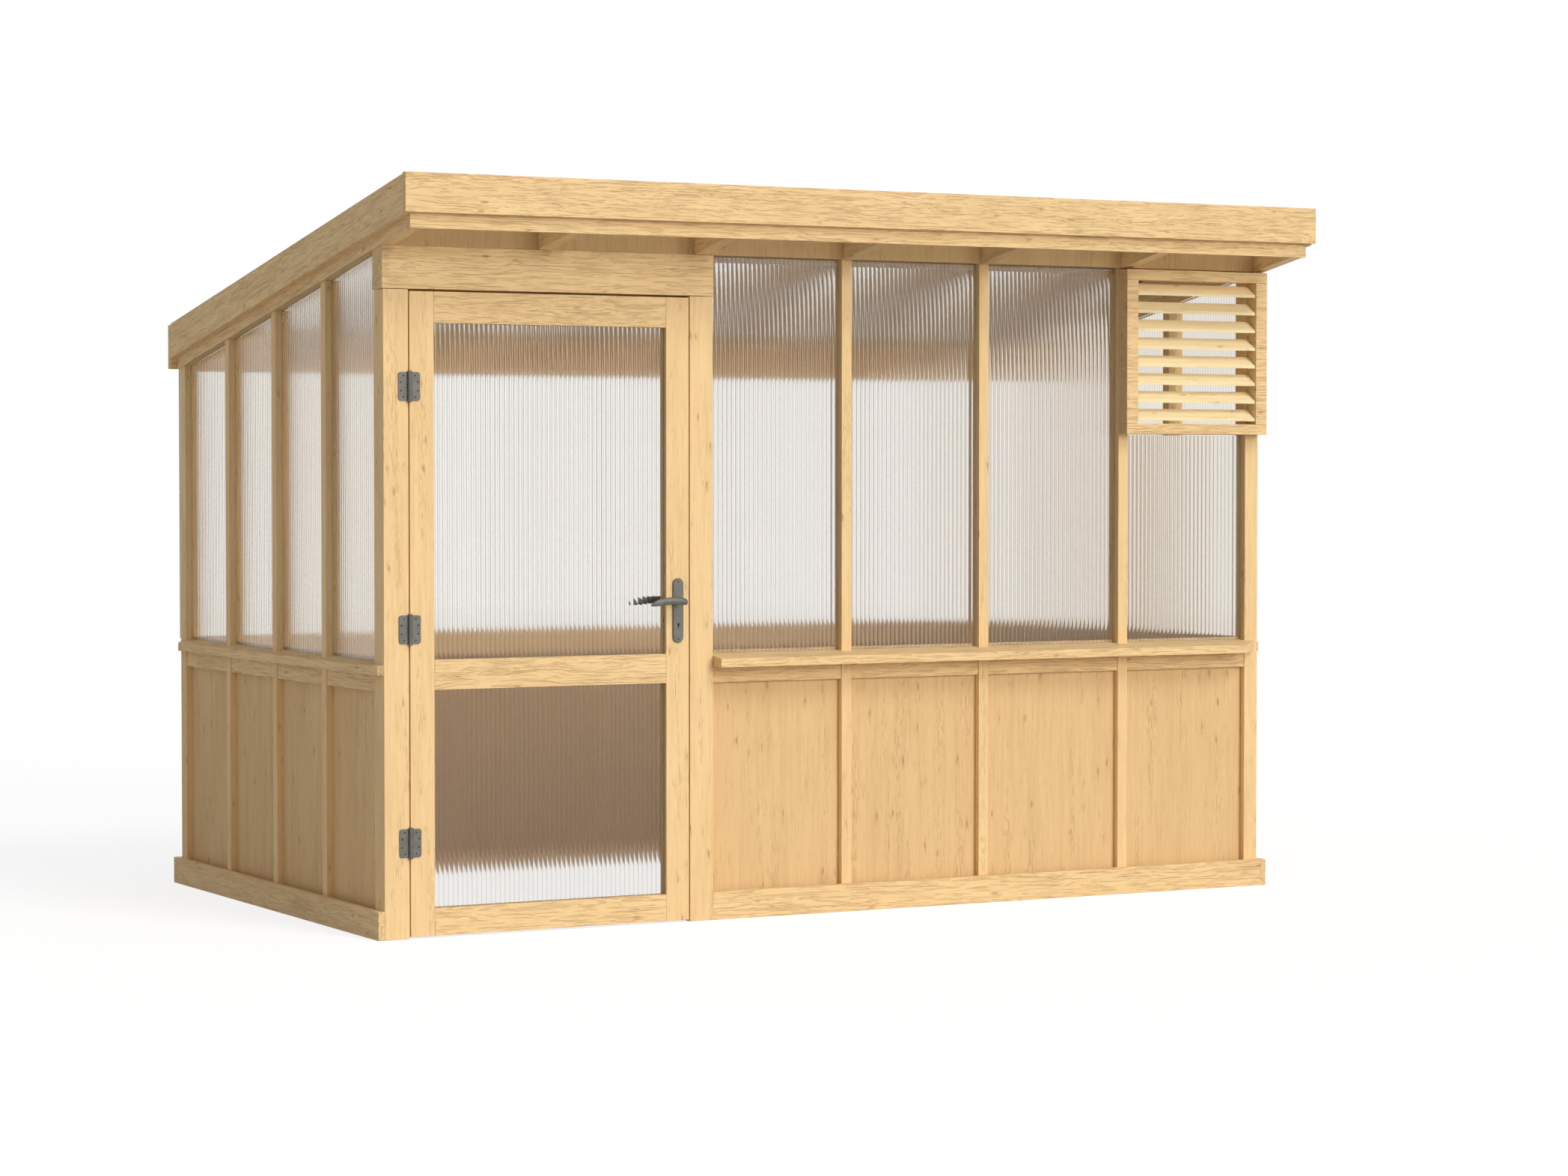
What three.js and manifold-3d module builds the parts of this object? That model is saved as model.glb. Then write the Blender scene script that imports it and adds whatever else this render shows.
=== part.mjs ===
// Lean-to greenhouse: timber frame, twin-wall glazing, single-pitch roof, hinged door with a mortise lock.
// Millimetres. While it is drawn, the origin is the front left bottom corner of the plinth:
// X runs to the right along the front, Y from the front to the back, Z up.
// The finished group is moved so that its origin is the middle of the footprint, on the ground.

import * as THREE from 'three';
import { mergeVertices } from 'three/addons/utils/BufferGeometryUtils.js';
import Module from 'manifold-3d';

const wasm = await Module();
wasm.setup();

// Overall size
const baseLength = 3328;
const baseDepth = 1888;
const frontHeight = 2135; // underside of the rafters above the front edge of the plinth
const backHeight = 1796; // and above its back edge

// Clearances and allowances
const skim = 0.15; // taken off every face of a piece, so that neighbours stand two skims apart
const overrun = 4; // how far a cut runs past the face it opens
const lap = 3; // how far two boards of one joined panel run into each other

// Plinth boards
const plinthHeight = 90;
const plinthSide = 21; // thickness of the left and right boards
const plinthFront = 26; // thickness of the front and back boards

// Wall panels
const wallThickness = 60;
const postWidth = 38;
const cornerPostWidth = 54;
const frontBayShare = 0.2461; // clear width of bays 1, 2 and 4, of that of all four; bay 3 takes what is left
const infillDepth = 21; // from the face of a post to the boarding and the glazing
const paneThickness = 10;
const boardingThickness = 16;
const grooveDepth = 8;
const friezeRecess = 3;
const friezeBottom = 763;
const sillBottom = 816;
const glassBottom = 858;
const bottomRailHeight = 45;
const sillRailHeight = 90;
const sillRailRise = 9; // how far the rail behind the sill stands above the foot of the glass
const topPlateHeight = 20;
const sideBayCount = 4;

// Sills
const sillNoseHeight = 28;
const frontSillProjection = 85; // from the face of the posts
const sideSillProjection = 16;
const dripWidth = 4;
const dripDepth = 3;
const dripSetback = 6;

// Roof
const rafterWidth = 45;
const rafterHeight = 122; // measured plumb
const roofDepth = 158; // plumb, from the underside of the rafters to the top of the fascias
const fasciaThickness = 24;
const fasciaHeight = 120;
const sideOverhang = 12; // from the end of the plinth to the outside of the side fascia
const frontOverhang = 261; // from the face of the plinth to the outside of the front fascia
const blockFace = 6; // from the face of the plinth to the blocks between the rafters
const blockThickness = 56;

// Doorway
const doorPostWidth = 83;
const doorPostDepth = 78;
const headerHeight = 133;
const headerOverhang = 3;
const stopDepth = 36;
const stopWidth = 12;
const doorGap = 4;
const doorBottomGap = 6;
const doorTopGap = 5;

// Door leaf
const leafWidth = 962;
const leafThickness = 40;
const stileWidth = 81;
const topRailHeight = 97;
const midRailHeight = 93;
const midRailDrop = 171; // from the spindle to the top of the middle rail
const bottomRailHeightDoor = 86;
const leafPaneSetback = 15;
const tenonLength = 45;
const tenonThickness = 12;
const tenonHeightShare = 0.6;

// Hinges
const hingeHeightShares = [0.146, 0.477, 0.853]; // of the height of the leaf
const hingeLength = 88;
const hingeLeafWidth = 36; // from the pin to the edge
const hingeLeafThickness = 3;
const hingeCornerRadius = 9;
const barrelRadius = 7;
const pinRadius = 3.5;
const pinClearance = 0.3;
const pinHeadHeight = 4;
const knuckleCount = 5;
const hingeHoleRadius = 2.8;
const hingeHoleInset = 8; // from the long edge
const hingeHoleStagger = 9; // how far the outer holes stand back towards the pin
const hingeHoleEnd = 11; // from the ends
const hingeHoleSpacingShare = 0.4; // of the outer holes' distance from the middle

// Handle set and lock
const plateWidth = 37;
const plateLength = 206;
const plateThickness = 6;
const plateBevel = 1.5;
const plateDrop = 33; // the middle of the plate below the spindle
const plateScrewInset = 11;
const plateScrewRadius = 2.5;
const spindleHeight = 1032;
const keyDrop = 77;
const keyholeRadius = 4;
const keyholeWidth = 3;
const keyholeLength = 11;
const neckRadius = 8;
const neckClearance = 0.4;
const leverStandoff = 44; // from the plate to the middle of the bar
const leverLength = 131;
const leverHeel = 11; // how far the bar runs past the spindle
const leverHeight = 24;
const leverThickness = 15;
const leverDroop = 13;
const spindleSize = 8;
const spindleClearance = 0.9;
const caseDepth = 62;
const caseHeight = 165;
const caseThickness = 16;
const caseDrop = 45; // the middle of the case below the spindle
const facePlateWidth = 22;
const facePlateLength = 205;
const facePlateThickness = 3;
const latchThickness = 12;
const latchHeight = 17;
const latchLength = 31;
const latchThrow = 12;
const boltThickness = 8;
const boltHeight = 24;
const boltLength = 34;
const boltThrow = 14;
const boltSetback = 0.5; // the drawn-back bolt ends this far inside the face plate
const slideClearance = 0.4;
const strikeWidth = 24;
const strikeLength = 150;
const strikeThickness = 2.5;
const strikeMargin = 2.5; // from a bolt to the edge of its window
const pocketDepth = 22;

// Louvre
const louvreHeight = 560;
const louvreTopGap = 5;
const louvreDepth = 52;
const louvreStile = 46;
const louvreRail = 36;
const slatCount = 8;
const slatThickness = 10;
const slatDepth = 42;
const slatRise = 32;
const slatHousing = 6;
const transomHeight = 36;

// Facets on round work
const roundFacets = 20;
const holeFacets = 10;

// Places worked out from the sizes above
const slope = (frontHeight - backHeight) / baseDepth;
const roofline = (y) => frontHeight - slope * y;
const baseRight = baseLength - plinthSide;
const wallBack = baseDepth - plinthFront;
const frontInside = plinthFront + wallThickness;
const backInside = wallBack - wallThickness;
const paneBack = infillDepth + paneThickness;
const doorPostRight = plinthSide + doorPostWidth;
const leafLeft = doorPostRight + doorGap;
const leafRight = leafLeft + leafWidth;
const secondPostLeft = leafRight + doorGap;
const secondPostRight = secondPostLeft + doorPostWidth;
const frontPosts = 3;
const frontClear = baseRight - cornerPostWidth - secondPostRight - frontPosts * postWidth;
const frontBayWidth = Math.round(frontClear * frontBayShare);
const headerBottom = frontHeight - headerHeight;
const leafHeight = headerBottom - doorTopGap - doorBottomGap;
const midRailBottom = spindleHeight - doorBottomGap - midRailDrop - midRailHeight;
const louvreTop = frontHeight - louvreTopGap;
const louvreBottom = louvreTop - louvreHeight;
const roofLeft = fasciaThickness - sideOverhang;
const roofRight = baseLength + sideOverhang - fasciaThickness;
const roofFront = fasciaThickness - frontOverhang;
const trimBack = roofFront + fasciaThickness;

// Materials
const timber = { color: 0xf0cc96, roughness: 0.7, metalness: 0 };
const glazing = { color: 0xe9e9e6, roughness: 0.2, metalness: 0, transparent: true, opacity: 0.45 };
const darkMetal = { color: 0x6a6861, roughness: 0.55, metalness: 0.7 };
const steel = { color: 0x9a9a98, roughness: 0.4, metalness: 0.9 };

// Solids: closed three.js geometry in, one joined or cut body out

function solid(geometry) {
  const bare = geometry.clone();
  bare.deleteAttribute('normal');
  bare.deleteAttribute('uv');
  const welded = mergeVertices(bare, 1e-4);
  return new wasm.Manifold(new wasm.Mesh({
    numProp: 3,
    vertProperties: new Float32Array(welded.attributes.position.array),
    triVerts: new Uint32Array(welded.index.array),
  }));
}

function join(bodies) {
  return bodies.reduce((whole, next) => whole.add(next));
}

function cut(body, cutters) {
  return cutters.reduce((left, cutter) => left.subtract(cutter), body);
}

function piece(name, body, look) {
  const { vertProperties, triVerts } = body.getMesh();
  const geometry = new THREE.BufferGeometry();
  geometry.setAttribute('position', new THREE.BufferAttribute(new Float32Array(vertProperties), 3));
  geometry.setIndex(new THREE.BufferAttribute(new Uint32Array(triVerts), 1));
  const flat = geometry.toNonIndexed();
  flat.computeVertexNormals();
  const mesh = new THREE.Mesh(flat, new THREE.MeshStandardMaterial(look));
  mesh.name = name;
  return mesh;
}

// A closed outline with every edge moved inwards by one skim; it runs anticlockwise
function skimmed(outline) {
  const count = outline.length;
  const edges = outline.map(([x, y], i) => {
    const [nextX, nextY] = outline[(i + 1) % count];
    const length = Math.hypot(nextX - x, nextY - y);
    const [dx, dy] = [(nextX - x) / length, (nextY - y) / length];
    return { x: x - dy * skim, y: y + dx * skim, dx, dy };
  });
  return edges.map((edge, i) => {
    const before = edges[(i + count - 1) % count];
    const turn = before.dx * edge.dy - before.dy * edge.dx;
    const along = ((edge.x - before.x) * edge.dy - (edge.y - before.y) * edge.dx) / turn;
    return [before.x + before.dx * along, before.y + before.dy * along];
  });
}

function extruded(outline, depth) {
  const shape = new THREE.Shape(outline.map(([x, y]) => new THREE.Vector2(x, y)));
  return new THREE.ExtrudeGeometry(shape, { depth, bevelEnabled: false });
}

// An outline in X and Z, as thick in Y as from one face to the other
function slabXZ(outline, y0, y1) {
  const geometry = extruded(skimmed(outline), y1 - y0 - 2 * skim);
  geometry.rotateX(Math.PI / 2);
  geometry.translate(0, y1 - skim, 0);
  return solid(geometry);
}

// An outline in Y and Z, as thick in X as from one face to the other
function slabYZ(outline, x0, x1) {
  const geometry = extruded(skimmed(outline), x1 - x0 - 2 * skim);
  const basis = new THREE.Matrix4().makeBasis(
    new THREE.Vector3(0, 1, 0), new THREE.Vector3(0, 0, 1), new THREE.Vector3(1, 0, 0));
  geometry.applyMatrix4(basis);
  geometry.translate(x0 + skim, 0, 0);
  return solid(geometry);
}

// An outline in X and Y, as tall in Z as from one face to the other
function slabXY(outline, z0, z1) {
  const geometry = extruded(skimmed(outline), z1 - z0 - 2 * skim);
  geometry.translate(0, 0, z0 + skim);
  return solid(geometry);
}

function boxBetween(x0, x1, y0, y1, z0, z1) {
  const geometry = new THREE.BoxGeometry(x1 - x0, y1 - y0, z1 - z0);
  geometry.translate((x0 + x1) / 2, (y0 + y1) / 2, (z0 + z1) / 2);
  return solid(geometry);
}

function board(x0, x1, y0, y1, z0, z1) {
  return boxBetween(x0 + skim, x1 - skim, y0 + skim, y1 - skim, z0 + skim, z1 - skim);
}

// A cutter that leaves one skim round whatever has these nominal faces
function housing(x0, x1, y0, y1, z0, z1) {
  return boxBetween(x0 - skim, x1 + skim, y0 - skim, y1 + skim, z0 - skim, z1 + skim);
}

function cylinderY(radius, x, z, y0, y1, facets = roundFacets) {
  const geometry = new THREE.CylinderGeometry(radius, radius, y1 - y0, facets);
  geometry.translate(x, (y0 + y1) / 2, z);
  return solid(geometry);
}

function cylinderZ(radius, z0, z1, facets = roundFacets) {
  const geometry = new THREE.CylinderGeometry(radius, radius, z1 - z0, facets);
  geometry.rotateX(Math.PI / 2);
  geometry.translate(0, 0, (z0 + z1) / 2);
  return solid(geometry);
}

// Plinth: side boards run the full depth, front and back boards stand between them
function plinth() {
  const group = new THREE.Group();
  const boards = {
    plinth_left: [0, plinthSide, 0, baseDepth],
    plinth_right: [baseRight, baseLength, 0, baseDepth],
    plinth_front: [secondPostRight, baseRight, 0, plinthFront],
    plinth_back: [plinthSide, baseRight, wallBack, baseDepth],
  };
  for (const [name, [x0, x1, y0, y1]] of Object.entries(boards)) {
    group.add(piece(name, board(x0, x1, y0, y1, 0, plinthHeight), timber));
  }
  return group;
}

// Walls. Each is drawn face on: x runs to the right as seen from outside, y runs inwards from
// the face of the posts, and height(x) is the top of the panel.

function evenPosts(from, to, lastWidth, count) {
  const clear = (to - from - lastWidth - (count - 1) * postWidth) / count;
  const posts = [];
  for (let i = 1; i < count; i += 1) {
    const left = from + i * clear + (i - 1) * postWidth;
    posts.push([left, left + postWidth]);
  }
  return posts;
}

// The clear bays between the posts, and between them and the ends of the wall
function baysOf(wall) {
  const stops = [[0, 0], ...wall.posts, [wall.length, wall.length]];
  const bays = [];
  for (let i = 1; i < stops.length; i += 1) {
    const [left, right] = [stops[i - 1][1], stops[i][0]];
    if (right > left) bays.push([left, right]);
  }
  return bays;
}

// From z0 up to the line of the roof, and past it by rise
function topOutline(wall, x0, x1, z0, rise) {
  return [[x0, z0], [x1, z0], [x1, wall.height(x1) + rise], [x0, wall.height(x0) + rise]];
}

// Posts, rails, lower boarding and friezes of one wall, joined as one panel
function wallPanel(wall) {
  const parts = wall.posts.map(([x0, x1]) => (
    slabXZ(topOutline(wall, x0, x1, 0, wall.rise), 0, wallThickness)));
  const railFront = infillDepth + paneThickness;
  parts.push(board(0, wall.length, railFront, wallThickness, 0, bottomRailHeight));
  const railTop = glassBottom + sillRailRise;
  parts.push(board(0, wall.length, railFront, wallThickness, railTop - sillRailHeight, railTop));
  for (const [left, right] of baysOf(wall)) {
    const [x0, x1] = [Math.max(left - lap, 0), Math.min(right + lap, wall.length)];
    parts.push(board(x0, x1, infillDepth, infillDepth + boardingThickness, 0, glassBottom));
    if (wall.frieze) parts.push(board(x0, x1, friezeRecess, infillDepth + lap, friezeBottom, sillBottom));
  }
  return join(parts);
}

// Grooves in the posts for the edges of the panes
function paneGrooves(wall) {
  return baysOf(wall).flatMap(([left, right], i) => {
    const top = (x) => (wall.paneTops ? wall.paneTops[i] + lap : wall.height(x));
    return [
      housing(left - grooveDepth, left + overrun, infillDepth, paneBack, glassBottom, top(left)),
      housing(right - overrun, right + grooveDepth, infillDepth, paneBack, glassBottom, top(right)),
    ];
  });
}

function paneIn(wall, [left, right], top) {
  const [x0, x1] = [left - grooveDepth, right + grooveDepth];
  const outline = top === undefined
    ? topOutline(wall, x0, x1, glassBottom, -lap)
    : [[x0, glassBottom], [x1, glassBottom], [x1, top], [x0, top]];
  return slabXZ(outline, infillDepth, paneBack);
}

function panesOf(wall, name) {
  return baysOf(wall).map((bay, i) => {
    const top = wall.paneTops ? wall.paneTops[i] : undefined;
    return piece(`${name}_pane_${i + 1}`, paneIn(wall, bay, top), glazing);
  });
}

// A sill against the face of a wall, notched round the posts, with a sloped top and a drip groove
function sill(projection, x0, x1, notches, cornerCuts) {
  const outline = [
    [-projection, sillBottom], [infillDepth, sillBottom],
    [infillDepth, glassBottom], [-projection, sillBottom + sillNoseHeight],
  ];
  const groove = boxBetween(x0 - overrun, x1 + overrun,
    dripSetback - projection, dripSetback + dripWidth - projection, sillBottom - overrun, sillBottom + dripDepth);
  const postCuts = notches.map(([left, right]) => (
    housing(left, right, 0, infillDepth + overrun, sillBottom - overrun, glassBottom + overrun)));
  return cut(slabYZ(outline, x0, x1), [groove, ...postCuts, ...cornerCuts]);
}

// A wedge that takes the corner off the end of a sill at 45 degrees
function sillCorner(projection, xEnd, direction) {
  const reach = projection + overrun;
  const points = [
    [xEnd, 0], [xEnd - direction * reach, -reach], [xEnd + direction * reach, -reach], [xEnd + direction * reach, 0],
  ];
  const outline = direction > 0 ? points : [...points].reverse();
  return slabXY(outline, sillBottom - overrun, glassBottom + overrun);
}

// Wall on its place: turned about Z by quarter turns from the front
function placed(children, x, y, turn) {
  const group = new THREE.Group();
  group.position.set(x, y, 0);
  group.rotation.z = turn;
  group.add(...children);
  return group;
}

// A rafter's outline in Y and Z: seats on the front wall and the back wall are cut level
function rafterOutline() {
  const seatBack = roofline(backInside);
  return [
    [trimBack, roofline(trimBack)], [0, frontHeight], [frontInside, frontHeight],
    [frontInside, roofline(frontInside)], [backInside, seatBack], [wallBack, seatBack],
    [wallBack, roofline(wallBack) + rafterHeight], [trimBack, roofline(trimBack) + rafterHeight],
  ];
}

const mullionLefts = [
  secondPostRight + frontBayWidth,
  secondPostRight + 2 * frontBayWidth + postWidth,
  baseRight - cornerPostWidth - frontBayWidth - postWidth,
];
const middleOfDoorway = (plinthSide + (secondPostLeft + secondPostRight) / 2) / 2;
const rafterMiddles = [
  middleOfDoorway, (secondPostLeft + secondPostRight) / 2,
  ...mullionLefts.map((left) => left + postWidth / 2),
];

const frontWall = {
  length: baseRight - secondPostRight,
  height: () => frontHeight,
  rise: 0,
  frieze: true,
  posts: [
    ...mullionLefts.map((left) => [left - secondPostRight, left - secondPostRight + postWidth]),
    [baseRight - cornerPostWidth - secondPostRight, baseRight - secondPostRight],
  ],
  paneTops: [frontHeight - lap, frontHeight - lap, frontHeight - lap, louvreBottom - lap],
};

const leftLength = wallBack - doorPostDepth;
const leftWall = {
  length: leftLength,
  height: (x) => Math.max(roofline(wallBack - x), roofline(backInside)),
  rise: lap,
  frieze: true,
  sillReach: [0, wallBack],
  neighbour: [leftLength, wallBack + overrun],
  posts: [
    [0, cornerPostWidth],
    ...evenPosts(0, leftLength, cornerPostWidth, sideBayCount)
      .map(([a, b]) => [leftLength - b, leftLength - a]).reverse(),
  ],
};

const rightLength = wallBack - frontInside;
const rightWall = {
  length: rightLength,
  height: (x) => Math.max(roofline(frontInside + x), roofline(backInside)),
  rise: lap,
  frieze: true,
  sillReach: [-wallThickness, rightLength],
  neighbour: [-wallThickness - overrun, 0],
  posts: [
    ...evenPosts(0, rightLength, cornerPostWidth, sideBayCount),
    [rightLength - cornerPostWidth, rightLength],
  ],
};

const backLeft = baseRight - wallThickness;
const backWall = {
  length: backLeft - plinthSide - wallThickness,
  height: () => roofline(backInside),
  rise: 0,
  frieze: false,
  posts: rafterMiddles.map((middle) => [backLeft - middle - postWidth / 2, backLeft - middle + postWidth / 2])
    .reverse(),
};

// Blocks that close the space between two rafters above the front wall
function rafterBlock(x0, x1) {
  const [front, back] = [blockFace, blockFace + blockThickness];
  return slabYZ([
    [front, frontHeight - lap], [back, frontHeight - lap],
    [back, roofline(back) + rafterHeight], [front, roofline(front) + rafterHeight],
  ], x0, x1);
}

const rafterFaces = [
  [roofLeft, roofLeft + rafterWidth],
  ...rafterMiddles.map((middle) => [middle - rafterWidth / 2, middle + rafterWidth / 2]),
  [roofRight - rafterWidth, roofRight],
];

function blocksFrom(first, last) {
  const blocks = [];
  for (let i = first; i < last; i += 1) blocks.push(rafterBlock(rafterFaces[i][1], rafterFaces[i + 1][0]));
  return blocks;
}

function frontSide() {
  const topPlate = board(0, frontWall.length, paneBack, wallThickness, frontHeight - topPlateHeight, frontHeight);
  const lastBay = baysOf(frontWall).at(-1);
  const transom = board(lastBay[0] - lap, lastBay[1] + lap, 0, wallThickness,
    louvreBottom, louvreBottom + transomHeight);
  const overHeader = housing(0, secondPostRight + headerOverhang, -overrun, doorPostDepth, headerBottom, frontHeight);
  const blocks = join(blocksFrom(2, rafterFaces.length - 1).map((block) => cut(block, [overHeader])))
    .translate([-secondPostRight, -plinthFront, 0]);
  const sideGroove = housing(
    frontWall.length - paneBack, frontWall.length - infillDepth,
    wallThickness - grooveDepth, wallThickness + overrun, glassBottom, frontHeight + overrun);
  const panel = cut(join([wallPanel(frontWall), topPlate, transom, blocks]), [...paneGrooves(frontWall), sideGroove]);
  const sillEnd = frontWall.length - sideSillProjection;
  const frontSill = sill(frontSillProjection, 0, sillEnd, frontWall.posts,
    [sillCorner(frontSillProjection, sillEnd, 1)]);
  return placed([
    piece('front_wall_panel', panel, timber),
    piece('front_sill', frontSill, timber),
    ...panesOf(frontWall, 'front'),
  ], secondPostRight, plinthFront, 0);
}

// A side wall's top rail is the end rafter, which stands a little outside the face of the posts
function rakingRail(outline) {
  const out = plinthSide - roofLeft;
  return slabXZ(outline, -out, rafterWidth - out);
}

function sideWall(name, wall, rakingTop) {
  const panel = cut(join([wallPanel(wall), rakingTop]), paneGrooves(wall));
  const [sillStart, sillEnd] = wall.sillReach;
  const corners = [
    sillCorner(sideSillProjection, sillStart, -1),
    sillCorner(sideSillProjection, sillEnd, 1),
  ];
  const notches = [...wall.posts, wall.neighbour];
  return [
    piece(`${name}_wall_panel`, panel, timber),
    piece(`${name}_sill`, sill(sideSillProjection, sillStart, sillEnd, notches, corners), timber),
    ...panesOf(wall, name),
  ];
}

function leftSide() {
  const rafter = rakingRail(rafterOutline().map(([y, z]) => [wallBack - y, z]).reverse());
  return placed(sideWall('left', leftWall, rafter), plinthSide, wallBack, -Math.PI / 2);
}

function rightSide() {
  const rafter = rakingRail(rafterOutline().map(([y, z]) => [y - frontInside, z]));
  return placed(sideWall('right', rightWall, rafter), baseRight, frontInside, Math.PI / 2);
}

function backSide() {
  const topPlate = board(0, backWall.length, paneBack, wallThickness,
    backWall.height() - topPlateHeight, backWall.height());
  const panel = join([wallPanel(backWall), topPlate]);
  const sheet = board(-wallThickness, backWall.length + wallThickness, -paneThickness, 0,
    glassBottom, roofline(wallBack));
  return placed([
    piece('back_wall_panel', panel, timber),
    piece('back_sheet', sheet, glazing),
  ], backLeft, wallBack, Math.PI);
}

// Doorway: rebated posts, and a header that carries the blocks between the rafters above it
function doorway() {
  const stopFace = doorPostDepth - stopDepth;
  const left = slabXY([
    [plinthSide, 0], [doorPostRight, 0], [doorPostRight, stopFace],
    [doorPostRight + doorGap + stopWidth, stopFace], [doorPostRight + doorGap + stopWidth, doorPostDepth],
    [plinthSide, doorPostDepth],
  ], 0, headerBottom);
  const right = slabXY([
    [secondPostLeft, 0], [secondPostRight, 0], [secondPostRight, doorPostDepth],
    [secondPostLeft - doorGap - stopWidth, doorPostDepth], [secondPostLeft - doorGap - stopWidth, stopFace],
    [secondPostLeft, stopFace],
  ], 0, headerBottom);
  const leftGroove = housing(plinthSide + infillDepth, plinthSide + paneBack,
    doorPostDepth - grooveDepth, doorPostDepth + overrun, glassBottom, headerBottom + overrun);
  const rightGroove = housing(secondPostRight - grooveDepth, secondPostRight + overrun,
    plinthFront + infillDepth, plinthFront + paneBack, glassBottom, headerBottom + overrun);
  const beam = slabYZ([
    [0, headerBottom], [stopFace, headerBottom], [stopFace, headerBottom - doorTopGap - stopWidth],
    [doorPostDepth, headerBottom - doorTopGap - stopWidth], [doorPostDepth, frontHeight], [0, frontHeight],
  ], plinthSide - headerOverhang, secondPostRight + headerOverhang);
  const postHeads = [
    housing(plinthSide - headerOverhang - overrun, doorPostRight + doorGap + stopWidth,
      -overrun, doorPostDepth + overrun, 0, headerBottom),
    housing(secondPostLeft - doorGap - stopWidth, secondPostRight + headerOverhang + overrun,
      -overrun, doorPostDepth + overrun, 0, headerBottom),
  ];
  const paneHeads = [
    housing(secondPostRight - grooveDepth, secondPostRight + headerOverhang + overrun,
      plinthFront, doorPostDepth + overrun, headerBottom - overrun, frontHeight + overrun),
    housing(plinthSide + infillDepth, plinthSide + paneBack,
      doorPostDepth - grooveDepth, doorPostDepth + overrun, headerBottom - overrun, frontHeight + overrun),
  ];
  const header = join([cut(beam, [...postHeads, ...paneHeads]), ...blocksFrom(0, 2)]);
  const strikeCuts = [
    housing(secondPostLeft - overrun, secondPostLeft + strikeThickness, ...strikeAcross(), ...strikeUp()),
    ...boltWindows(0).map(([y0, y1, z0, z1]) => (
      boxBetween(secondPostLeft - overrun, secondPostLeft + pocketDepth, y0, y1, z0, z1))),
  ];
  const group = new THREE.Group();
  group.add(
    piece('door_post_left', cut(left, [leftGroove]), timber),
    piece('door_post_right', cut(right, [rightGroove, ...strikeCuts]), timber),
    piece('door_header', header, timber),
    strikePlate(),
  );
  return group;
}

// Strike plate on the edge of the right-hand door post
function strikeAcross() {
  const middle = leafThickness / 2;
  return [middle - strikeWidth / 2, middle + strikeWidth / 2];
}

function strikeUp() {
  const middle = spindleHeight - keyDrop / 2;
  return [middle - strikeLength / 2, middle + strikeLength / 2];
}

// Windows for the latch and the bolt: Y from and to, Z from and to, wider by the given amount
function boltWindows(extra) {
  const middle = leafThickness / 2;
  const margin = strikeMargin + extra;
  return [[latchThickness, latchHeight, spindleHeight], [boltThickness, boltHeight, spindleHeight - keyDrop]]
    .map(([thick, high, level]) => [
      middle - thick / 2 - margin, middle + thick / 2 + margin,
      level - high / 2 - margin, level + high / 2 + margin,
    ]);
}

function strikePlate() {
  const plate = board(secondPostLeft, secondPostLeft + strikeThickness, ...strikeAcross(), ...strikeUp());
  const windows = boltWindows(0).map(([y0, y1, z0, z1]) => (
    boxBetween(secondPostLeft - overrun, secondPostLeft + strikeThickness + overrun, y0, y1, z0, z1)));
  return piece('strike_plate', cut(plate, windows), steel);
}

// Roof
function roof() {
  const group = new THREE.Group();
  rafterMiddles.forEach((middle, i) => {
    const rafter = slabYZ(rafterOutline(), middle - rafterWidth / 2, middle + rafterWidth / 2);
    group.add(piece(`rafter_${i + 1}`, rafter, timber));
  });
  const trim = slabYZ([
    [roofFront, roofline(trimBack)], [trimBack, roofline(trimBack)],
    [trimBack, roofline(trimBack) + rafterHeight], [roofFront, roofline(roofFront) + rafterHeight],
  ], roofLeft, roofRight);
  const sheetTop = rafterHeight + paneThickness;
  const sheet = slabYZ([
    [roofFront, roofline(roofFront) + rafterHeight], [wallBack, roofline(wallBack) + rafterHeight],
    [wallBack, roofline(wallBack) + sheetTop], [roofFront, roofline(roofFront) + sheetTop],
  ], roofLeft, roofRight);
  group.add(piece('eaves_trim', trim, timber), piece('roof_sheet', sheet, glazing), ...fascias());
  return group;
}

function fascias() {
  const [outerLeft, outerRight] = [-sideOverhang, baseLength + sideOverhang];
  const frontTop = roofline(-frontOverhang) + roofDepth;
  const front = board(outerLeft, outerRight, -frontOverhang, roofFront, frontTop - fasciaHeight, frontTop);
  const back = board(outerLeft, outerRight, wallBack, baseDepth,
    roofline(wallBack), roofline(baseDepth) + roofDepth);
  const side = [
    [roofFront, roofline(roofFront) + roofDepth - fasciaHeight],
    [wallBack, roofline(wallBack) + roofDepth - fasciaHeight],
    [wallBack, roofline(wallBack) + roofDepth], [roofFront, roofline(roofFront) + roofDepth],
  ];
  return [
    piece('fascia_front', front, timber),
    piece('fascia_back', back, timber),
    piece('fascia_left', slabYZ(side, outerLeft, roofLeft), timber),
    piece('fascia_right', slabYZ(side, roofRight, outerRight), timber),
  ];
}

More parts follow.
